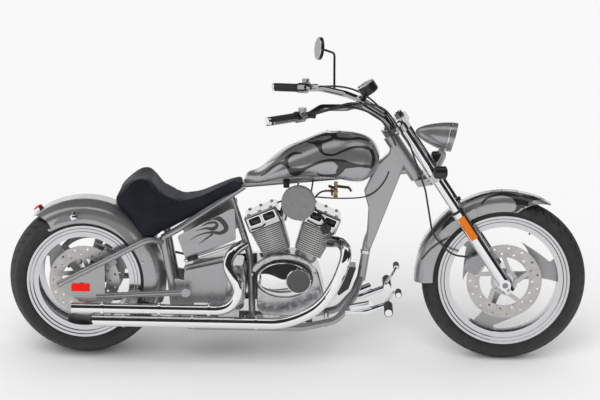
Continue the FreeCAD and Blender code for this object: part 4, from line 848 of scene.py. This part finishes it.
def make_drive_details():
    """Bolts and cap of the primary cover, bolts of the gearbox, the exhaust's clamps, and dark plugs in its mouths that
    are soot together with painted shade of the pipes' depth.
    """
    bolts = bmesh.new()
    for x, z in ((0, -103), (-145, -98), (-285, -89), (-373, -42), (-373, 42), (-285, 89), (-145, 98), (0, 103), (103, 52), (103, -52)):
        add_bolt(bolts, CRANK + Vector((x, 212, z)), (0, 1, 0), 6.5, 6)
    for x, z in ((38, -38), (72, -46), (74, 44), (38, 62)):
        add_bolt(bolts, CRANK + Vector((x - 285, -123, z)), (0, -1, 0), 5.5, 5)
    sharpen(add_piece("cover_bolts", bolts, "bolts"))
    derby = lathe([(0, 9), (40, 8.5), (48, 5), (50, 0), (0, 0)], CRANK + Vector((-255, 213.5, 0)), (0, 1, 0), 56)
    sharpen(add_piece("clutch_cap", derby, "chrome"))
    # Dark plugs in the pipe mouths: soot, and painted shade that stands in for the depth of the pipes.
    soot_and_shade = bmesh.new()
    for x, z in ((-38, 240), (62, 187)):
        add_rod(soot_and_shade, (x + 6, -219, z), (x + 46, -219, z), 22.3, 32)
    sharpen(add_piece("exhaust_mouth_shade", soot_and_shade, "soot_and_shade"))
    clamps = bmesh.new()
    for x, z in ((90, 240), (330, 240), (540, 240), (180, 187), (470, 187), (740, 187)):
        turned_at(clamps, [(24.2, -7), (26.6, -7), (27.2, -5), (27.2, 5), (26.6, 7), (24.2, 7), (24.2, -7)],
                  (x, -219, z), (1, 0, 0), 36)
        add_bolt(clamps, (x, -219, z + 29), (0, -1, 0.2), 4, 14)
    sharpen(add_piece("exhaust_clamps", clamps, "pipe"))


def make_bodywork_details():
    """The bright bar over the battery box, pipes and taps under the tank, and small fittings."""
    bm = bmesh.new()
    add_rod(bm, (436, -131, 433), (646, -131, 508), 8.5, 28)
    for x, z in ((446, 436.6), (636, 504.4)):
        add_rod(bm, (x, -118, z), (x, -132, z), 6)
    add_ball(bm, Vector((436, -131, 433)), 8.5)
    add_ball(bm, Vector((646, -131, 508)), 8.5)
    sharpen(add_piece("side_bar", bm, "chrome"))
    bm = bmesh.new()
    add_rod(bm, (444, -131, 435.9), (488, -131, 451.6), 9.8, 28)
    add_rod(bm, (856, -30, 735), (856, -30, 772), 13)
    add_rod(bm, (856, 30, 735), (856, 30, 772), 13)
    add_piece("tank_mounts", bm, "rubber")
    bm = bmesh.new()
    add_rod(bm, (1066, -62, 706), (1066, -62, 770), 8)
    add_rod(bm, (1024, -62, 730), (1074, -62, 730), 5)
    add_bolt(bm, (1066, -70, 728), (0, -1, 0), 11, 9, 8)
    add_ball(bm, Vector((1066, -62, 706)), 9.5)
    sharpen(add_piece("fuel_tap", bm, "brass"))
    bm = bmesh.new()
    add_rod(bm, (1036, -66, 752), (1062, -72, 744), 6)
    add_rod(bm, (1062, -64, 752), (1122, -56, 744), 6)
    add_rod(bm, (1122, -56, 744), (1132, -56, 728), 5)
    add_rod(bm, (1048, -72, 742), (1052, -74, 712), 4.5)
    sharpen(add_piece("tap_lever", bm, "black"))
    bm = bmesh.new()
    turned_at(bm, [(0, 8), (20, 8), (23, 6), (23, 2), (20.5, 1), (20.5, -1), (23, -2), (23, -6), (20, -8), (0, -8)],
              Vector((1196.5, 0, 455)), Vector((25, 0, 170)), 40)
    sharpen(add_piece("downtube_collar", bm, "chrome"))
    add_tube("fuel_hose", [(1026, -62, 730), (1006, -64, 728), (986, -70, 712), (966, -84, 688), (952, -96, 676), (946, -100, 668)],
             4.0, "rubber")
    add_tube("wire_loom", [(940, -60, 706), (985, -52, 700), (1060, -44, 694), (1140, -36, 694), (1196, -32, 700), (1232, -31, 720),
                           (1262, -31, 752), (1284, -30, 790), (1290, -26, 812)], 3.0, "hose")
    for way, word in ((1, "front"), (-1, "rear")):
        plug = head_place(way) @ Vector((24 * way, -106 * way, 310.6))
        rise = Vector((930 + way * 30, -96 * way, 690))
        add_tube(f"plug_lead_{word}", [plug, plug + Vector((way * 2, -8 * way, 4)), plug + Vector((-way * 8, -6 * way, 40)),
                                       rise + Vector((0, 30 * way, -10)), rise + Vector((0, 62 * way, 20)), rise + Vector((10, 70 * way, 80))],
                 3.6, "rubber")
    bm = lathe([(0, 0), (23, 0), (23, 14), (19, 20), (9, 23), (0, 23.5)],
               head_place(-1) @ Vector((-24.4, 84, 310.6)), (0, 1, 0), 32)
    sharpen(add_piece("rear_plug_cap", bm, "black"))
    bm = bmesh.new()
    for angle, side in ((-12, 1), (-12, -1), (20, 1), (20, -1), (122, 1), (122, -1)):
        add_bolt(bm, round_axle(REAR_AXLE, 268, angle, side * 131), (0, side, 0), 7, 6)
    sharpen(add_piece("fender_bolts", bm, "bolts"))


def make_lights():
    """Coloured lenses on the turn signals and the tail light."""
    out = (round_axle(REAR_AXLE, 1, 125) - REAR_AXLE).normalized()
    base = round_axle(REAR_AXLE, 362, 125)
    bm = lathe([(0, 7), (10, 6.2), (17, 4), (20.5, 0), (0, 0)], base - out * 0.6, out, 40)
    add_piece("tail_lens", bm, "red")
    bm = bmesh.new()
    for side in (-1, 1):
        spot = round_axle(REAR_AXLE, 292, 97, side * 161.5)
        add_ball(bm, spot, 15.4, (0.86, 1.0, 0.86))
    add_piece("rear_signal_lenses", bm, "smoke")
    bm = bmesh.new()
    for side in (-1, 1):
        turned_at(bm, [(0, 8), (11, 7), (19, 4), (24, 0), (0, 0)], (1525.6, side * 168, 838), (1, 0, 0), 40)
    add_piece("front_signal_lenses", bm, "smoke", "steering")


def make_controls():
    """Ribs and end caps of the grips, switch boxes, cables, dial and mirror glass."""
    ribs, caps, boxes = bmesh.new(), bmesh.new(), bmesh.new()
    for side in (-1, 1):
        end = Vector((790, side * 436, 1090))
        into = Vector((105, -side * 62, 8)).normalized()
        for step in range(9):
            add_ring(ribs, end + into * (6 + 13.5 * step), into, 17.3, 1.7, 32, 8)
        turned_at(caps, [(0, 3.5), (12, 3), (17, 1), (18.5, -3), (18.5, -9), (0, -9)], end - into * 5, -into, 36)
        turned_at(boxes, [(0, -14), (20, -14), (23, -11), (23, 11), (20, 14), (0, 14)], end + into * 136, into, 36)
        add_rod(boxes, end + into * 150 + Vector((20, 0, 6)), end + into * 150 + Vector((58, side * 18, 6)), 11)
    add_piece("grip_ribs", ribs, "rubber", "steering")
    sharpen(add_piece("grip_caps", caps, "chrome", "steering"))
    sharpen(add_piece("switch_boxes", boxes, "black", "steering"))
    add_tube("throttle_cable", [(920, -352, 1096), (968, -330, 1102), (1052, -262, 1118), (1128, -196, 1116), (1206, -156, 1086),
                                (1262, -112, 1040), (1292, -78, 985), (1316, -66, 930)], 4.2, "hose", "steering")
    add_tube("clutch_cable", [(930, 368, 1104), (985, 330, 1112), (1066, 262, 1128), (1150, 196, 1122), (1228, 158, 1078),
                              (1290, 112, 1010), (1320, 80, 950), (1338, 66, 905)], 4.2, "hose", "steering")
    centre = Vector((1192, 0, 1166))
    out = Vector((-0.55, 0, 0.84)).normalized()
    dial = bmesh.new()
    turned_at(dial, [(0, 0.8), (36.5, 0.8), (36.5, -0.6), (0, -0.6)], centre + out * 16.2, out, 48)
    sharpen(add_piece("dial_face", dial, "black", "steering"))
    rim = bmesh.new()
    add_ring(rim, centre + out * 17, out, 38, 3.0, 56, 10)
    add_piece("dial_rim", rim, "chrome", "steering")
    marks = bmesh.new()
    place = Matrix.Translation(centre + out * 17.0) @ facing(out)
    for step in range(11):
        turn = Matrix.Rotation(math.radians(-120 + 24 * step), 4, "Z")
        add_plate(marks, [(-0.9, 27), (0.9, 27), (0.9, 33.5), (-0.9, 33.5)], 0.5, place @ turn)
    add_plate(marks, [(-1.3, -6), (1.3, -6), (0.4, 26), (-0.4, 26)], 0.7, place @ Matrix.Rotation(math.radians(105), 4, "Z"))
    sharpen(add_piece("dial_marks", marks, "white", "steering"))
    centre = Vector((990, 350, 1277))
    out = Vector((-0.94, -0.3, 0.1)).normalized()
    glass = bmesh.new()
    turned_at(glass, [(0, 1.2), (45, 0.9), (46, -0.5), (0, -0.5)], centre + out * 14.2, out, 48)
    sharpen(add_piece("mirror_glass", glass, "mirror_glass", "steering"))
    rim = bmesh.new()
    add_ring(rim, centre + out * 13.6, out, 46.6, 2.0, 56, 10)
    add_piece("mirror_rim", rim, "chrome", "steering")


def make_fork_details():
    """Seals and pinch bolts on the fork, caps of tubes and stem, and the lamp's rim."""
    seals, bolts, bright = bmesh.new(), bmesh.new(), bmesh.new()
    for side in (-1, 1):
        turned_at(seals, [(20.6, -2), (27, -2), (27.5, 2), (26, 7), (21.5, 9), (20.6, 9), (20.6, -2)], on_fork(373, 0, side * LEG_SPREAD),
                  FORK_UP, 40)
        turned_at(bright, [(0, 4), (12, 3.4), (19, 1), (20.5, -2), (20.5, -5), (0, -5)], on_fork(836, 0, side * LEG_SPREAD), FORK_UP, 40)
        for rise in (552, 806):
            add_bolt(bolts, on_fork(rise, -24, side * (LEG_SPREAD + 27)), -FORK_AHEAD, 6.5, 12)
        add_bolt(bolts, on_fork(-26, 0, side * (LEG_SPREAD + 25)), (0, side, 0), 7.5, 7)
    turned_at(bright, [(0, 12), (16, 11), (22, 6), (24, 0), (0, 0)], on_fork(822, -FORK_OFFSET), FORK_UP, 40)
    add_ring(bright, Vector((1537, 0, 959.2)), (0.966, 0, -0.259), 63.2, 3.2, 64, 10)
    add_piece("fork_seals", seals, "rubber", "steering")
    sharpen(add_piece("fork_bolts", bolts, "bolts", "steering"))
    sharpen(add_piece("fork_caps", bright, "chrome", "steering"))


def make_wheel_details():
    """Disc and pulley bolts, valve stems and rotor rivets, all of which turn with their wheels."""
    for axle, side, body, word in ((REAR_AXLE, -90.5, "rear_wheel", "rear"), (FRONT_AXLE, -64.5, "front_wheel", "front")):
        bolts = bmesh.new()
        for step in range(5):
            add_bolt(bolts, round_axle(axle, 48.5, 72 * step + 10, side), (0, -1, 0), 6, 5)
        band = 101 if word == "rear" else 111
        for step in range(10):
            add_bolt(bolts, round_axle(axle, band, 36 * step + 4, side), (0, -1, 0), 3.4, 2, 10)
        if word == "rear":
            for step in range(5):
                add_bolt(bolts, round_axle(axle, 38, 72 * step + 36, 155), (0, 1, 0), 6.5, 7)
        sharpen(add_piece(f"{word}_wheel_bolts", bolts, "bolts", body))
        radius = 216.0 if word == "rear" else 254.0
        stem = bmesh.new()
        foot = round_axle(axle, radius, 74 if word == "rear" else 62, -12)
        inward = (axle - foot)
        inward.y = 0
        inward.normalize()
        turned_at(stem, [(0, -4), (5, -4), (5, 8), (3.4, 12), (3.4, 24), (4.2, 25), (4.2, 33), (0, 34)], foot, inward, 20)
        sharpen(add_piece(f"{word}_valve_stem", stem, "rubber", body))


def make_foot_rubbers():
    """Grooved rubbers on the pegs and on the lever's and pedal's pads."""
    bm = bmesh.new()
    for side in (-1, 1):
        knee = Vector((1296, side * 150, 262))
        profile = [(15.1, 0)]
        for step in range(10):
            profile += [(18.6, 1 + 12.4 * step), (18.6, 9 + 12.4 * step), (17.0, 10.5 + 12.4 * step), (17.0, 11.5 + 12.4 * step)]
        profile += [(18.6, 126), (15.1, 128), (15.1, 0)]
        turned_at(bm, profile, knee + SIDE * (side * 18), SIDE * side, 28)
        turned_at(bm, [(11.1, 0), (13.4, 2), (13.4, 60), (11.1, 62), (11.1, 0)], knee + Vector((40, side * 62, 72)), SIDE * side, 28)
    sharpen(add_piece("foot_rubbers", bm, "rubber"))


# Stage

def make_stage(settings):
    scene = bpy.context.scene
    bm = bmesh.new()
    bmesh.ops.create_grid(bm, x_segments=1, y_segments=1, size=60.0)
    mesh = bpy.data.meshes.new("floor")
    bm.to_mesh(mesh)
    bm.free()
    floor = bpy.data.objects.new("floor", mesh)
    paper = Finish("floor_paper", settings.floor_colour, roughness=0.9, Specular_IOR_Level=0.1)
    grain = paper.noise(3.0, 2.0)
    pale = settings.floor_colour
    paper.colour(paper.blend_colours(paper.span(grain, 0.3, 0.7, 0, 1), [part * 0.995 for part in pale], pale))
    mesh.materials.append(paper.material)
    scene.collection.objects.link(floor)

    bm = bmesh.new()
    bmesh.ops.create_cone(bm, cap_ends=False, segments=64, radius1=14.0, radius2=2.4, depth=settings.flag_height)
    bmesh.ops.translate(bm, vec=(0, 0, settings.flag_height / 2 + settings.flag_low), verts=bm.verts)
    open_ends = [face for face in bm.faces if abs(face.calc_center_median().x) > 1.9 * abs(face.calc_center_median().y)]
    bmesh.ops.delete(bm, geom=open_ends, context="FACES")
    made = bmesh.ops.create_grid(bm, x_segments=1, y_segments=1, size=1.0)
    place = Matrix.Translation((9.0, -1.0, 6.0)) @ Matrix.Rotation(math.pi / 2, 4, "Y") @ Matrix.Diagonal((6.0, 7.0, 1.0, 1.0))
    bmesh.ops.transform(bm, matrix=place, verts=made["verts"])
    mesh = bpy.data.meshes.new("dark_flags")
    bm.to_mesh(mesh)
    bm.free()
    flags = bpy.data.objects.new("dark_flags", mesh)
    cloth = Finish("flag_cloth", (0.02, 0.02, 0.02), roughness=1.0)
    mesh.materials.append(cloth.material)
    scene.collection.objects.link(flags)
    flags.visible_camera = False
    flags.visible_diffuse = False
    flags.visible_shadow = False

    world = bpy.data.worlds.new("studio")
    scene.world = world
    world.use_nodes = True
    nodes, links = world.node_tree.nodes, world.node_tree.links
    background = nodes["Background"]
    background.inputs["Color"].default_value = (1, 1, 1, 1)
    rays = nodes.new("ShaderNodeLightPath")
    seen = nodes.new("ShaderNodeMath")
    seen.operation = "MAXIMUM"
    links.new(rays.outputs["Is Camera Ray"], seen.inputs[0])
    links.new(rays.outputs["Is Glossy Ray"], seen.inputs[1])
    clear = nodes.new("ShaderNodeMath")
    clear.operation = "MAXIMUM"
    links.new(seen.outputs[0], clear.inputs[0])
    links.new(rays.outputs["Is Transmission Ray"], clear.inputs[1])
    level = nodes.new("ShaderNodeMapRange")
    links.new(clear.outputs[0], level.inputs["Value"])
    level.inputs["To Min"].default_value = settings.sky_level
    level.inputs["To Max"].default_value = 1.0
    links.new(level.outputs[0], background.inputs["Strength"])

    for name, turn, strength, angle in (("key", (38, -14, 0), settings.key_level, 50), ("fill", (50, 0, 160), settings.fill_level, 80)):
        lamp = bpy.data.lights.new(name, "SUN")
        lamp.energy = strength
        lamp.angle = math.radians(angle)
        holder = bpy.data.objects.new(name, lamp)
        holder.rotation_euler = [math.radians(part) for part in turn]
        holder.visible_glossy = False
        scene.collection.objects.link(holder)

    camera = bpy.data.cameras.new("camera")
    camera.lens = settings.lens
    camera.sensor_width = 36.0
    holder = bpy.data.objects.new("camera", camera)
    scene.collection.objects.link(holder)
    azimuth, elevation, roll = (math.radians(part) for part in (settings.azimuth, settings.elevation, settings.roll))
    back = Vector((math.sin(azimuth) * math.cos(elevation), -math.cos(azimuth) * math.cos(elevation), math.sin(elevation)))
    right = Vector((math.cos(azimuth), math.sin(azimuth), 0))
    up = back.cross(right)
    across = right * math.cos(roll) + up * math.sin(roll)
    above = up * math.cos(roll) - right * math.sin(roll)
    turn = Matrix((across, above, back)).transposed()
    holder.rotation_euler = turn.to_euler()
    holder.location = Vector((0, 0, settings.aim_height)) + back * settings.distance + right * settings.aim_side + up * settings.aim_up
    scene.camera = holder
    scene.view_settings.view_transform = "Standard"


class ChopperPaint(bpy.types.PropertyGroup):
    paint: FloatVectorProperty(name="Body paint", description="Metallic silver of tank, fenders and frame", subtype="COLOR",
                               size=3, min=0, max=1, default=(0.36, 0.36, 0.37))
    graphite: FloatVectorProperty(name="Flame paint", description="Graphite of the flame licks", subtype="COLOR",
                                  size=3, min=0, max=1, default=(0.020, 0.020, 0.021))
    blade: FloatVectorProperty(name="Wheel blades", description="Satin faces of the wheel blades", subtype="COLOR",
                               size=3, min=0, max=1, default=(0.42, 0.42, 0.43))
    leather: FloatVectorProperty(name="Seat leather", description="Blue-black leather of the saddle", subtype="COLOR",
                                 size=3, min=0, max=1, default=(0.012, 0.013, 0.018))


class ChopperSizes(bpy.types.PropertyGroup):
    seat_voxel: FloatProperty(name="Seat mesh size", description="Size of the even mesh under the leather, mm", default=6.0)
    seat_swell: FloatProperty(name="Seat swell", description="Most that the leather stands out from its foam, mm", default=9.0)


class ChopperStudio(bpy.types.PropertyGroup):
    floor_colour: FloatVectorProperty(name="Floor", description="Pale paper floor", subtype="COLOR", size=3, min=0, max=1,
                                      default=(0.965, 0.965, 0.965))
    sky_level: FloatProperty(name="Sky level", description="Soft light from all round", default=0.62)
    key_level: FloatProperty(name="Key level", description="Soft light from above", default=1.25)
    fill_level: FloatProperty(name="Fill level", description="Soft light from the far side", default=0.35)
    flag_height: FloatProperty(name="Flag height", description="Height of the dark cloth that chrome mirrors", default=6.4,
                               unit="LENGTH")
    flag_low: FloatProperty(name="Flag foot", description="Height of its lower edge", default=3.9, unit="LENGTH")
    lens: FloatProperty(name="Lens", description="Focal length in mm", default=139.32)
    azimuth: FloatProperty(name="Camera azimuth", description="Degrees round the machine from its right side", default=1.06)
    elevation: FloatProperty(name="Camera elevation", description="Degrees above the floor", default=19.51)
    roll: FloatProperty(name="Camera roll", description="Degrees that the camera is turned about its line of sight", default=0.63)
    distance: FloatProperty(name="Camera distance", description="From the machine's middle", default=10.0, unit="LENGTH")
    aim_height: FloatProperty(name="Aim height", description="Height of the aimed point", default=0.55, unit="LENGTH")
    aim_side: FloatProperty(name="Aim shift", description="Shift across the picture", default=0.0071, unit="LENGTH")
    aim_up: FloatProperty(name="Aim lift", description="Shift up the picture", default=0.0955, unit="LENGTH")


class CHOPPER_OT_finishes(bpy.types.Operator):
    """Make every finish and dress the solids with them"""
    bl_idname = "chopper.finishes"
    bl_label = "Finishes"

    def execute(self, context):
        FINISHES.update(build_finishes(context.scene.chopper_paint))
        dress_solids()
        return {"FINISHED"}


class CHOPPER_OT_seat(bpy.types.Operator):
    """Make the padded leather saddle"""
    bl_idname = "chopper.seat"
    bl_label = "Seat"

    def execute(self, context):
        make_seat(context.scene.chopper_sizes)
        return {"FINISHED"}


class CHOPPER_OT_flames(bpy.types.Operator):
    """Lay the painted flame licks on tank, side panels and fenders"""
    bl_idname = "chopper.flames"
    bl_label = "Flames"

    def execute(self, context):
        make_flames()
        return {"FINISHED"}


class CHOPPER_OT_engine(bpy.types.Operator):
    """Fit the windows, covers, bolts and arch of the engine"""
    bl_idname = "chopper.engine"
    bl_label = "Engine"

    def execute(self, context):
        make_heads()
        make_cam_cover()
        make_drive_details()
        return {"FINISHED"}


class CHOPPER_OT_bodywork(bpy.types.Operator):
    """Fit the side bar, taps, hoses and lenses"""
    bl_idname = "chopper.bodywork"
    bl_label = "Bodywork"

    def execute(self, context):
        make_bodywork_details()
        make_lights()
        return {"FINISHED"}


class CHOPPER_OT_front_end(bpy.types.Operator):
    """Fit grips, switches, cables, dial, mirror glass and fork details"""
    bl_idname = "chopper.front_end"
    bl_label = "Front end"

    def execute(self, context):
        make_controls()
        make_fork_details()
        return {"FINISHED"}


class CHOPPER_OT_wheels(bpy.types.Operator):
    """Fit the bolts and stems that turn with the wheels, and the foot rubbers"""
    bl_idname = "chopper.wheels"
    bl_label = "Wheels"

    def execute(self, context):
        make_wheel_details()
        make_foot_rubbers()
        return {"FINISHED"}


class CHOPPER_OT_stage(bpy.types.Operator):
    """Set up floor, soft light and camera"""
    bl_idname = "chopper.stage"
    bl_label = "Stage"

    def execute(self, context):
        make_stage(context.scene.chopper_studio)
        return {"FINISHED"}


OPERATORS = (CHOPPER_OT_finishes, CHOPPER_OT_seat, CHOPPER_OT_flames, CHOPPER_OT_engine, CHOPPER_OT_bodywork,
             CHOPPER_OT_front_end, CHOPPER_OT_wheels, CHOPPER_OT_stage)


class CHOPPER_PT_panel(bpy.types.Panel):
    """Lists the steps that dress the machine"""
    bl_idname = "CHOPPER_PT_panel"
    bl_label = "Chopper"
    bl_space_type = "VIEW_3D"
    bl_region_type = "UI"
    bl_category = "Chopper"

    def draw(self, context):
        for group in ("chopper_paint", "chopper_sizes", "chopper_studio"):
            box = self.layout.box()
            for key in getattr(context.scene, group).bl_rna.properties.keys():
                if key not in ("rna_type", "name"):
                    box.prop(getattr(context.scene, group), key)
        for operator in OPERATORS:
            self.layout.operator(operator.bl_idname)


CLASSES = (ChopperPaint, ChopperSizes, ChopperStudio) + OPERATORS + (CHOPPER_PT_panel,)


def register():
    for item in CLASSES:
        bpy.utils.register_class(item)
    bpy.types.Scene.chopper_paint = PointerProperty(type=ChopperPaint)
    bpy.types.Scene.chopper_sizes = PointerProperty(type=ChopperSizes)
    bpy.types.Scene.chopper_studio = PointerProperty(type=ChopperStudio)


def unregister():
    del bpy.types.Scene.chopper_studio
    del bpy.types.Scene.chopper_sizes
    del bpy.types.Scene.chopper_paint
    for item in reversed(CLASSES):
        bpy.utils.unregister_class(item)


def main():
    register()
    for operator in OPERATORS:
        getattr(bpy.ops.chopper, operator.bl_idname.split(".")[1])()


if __name__ == "__main__":
    main()
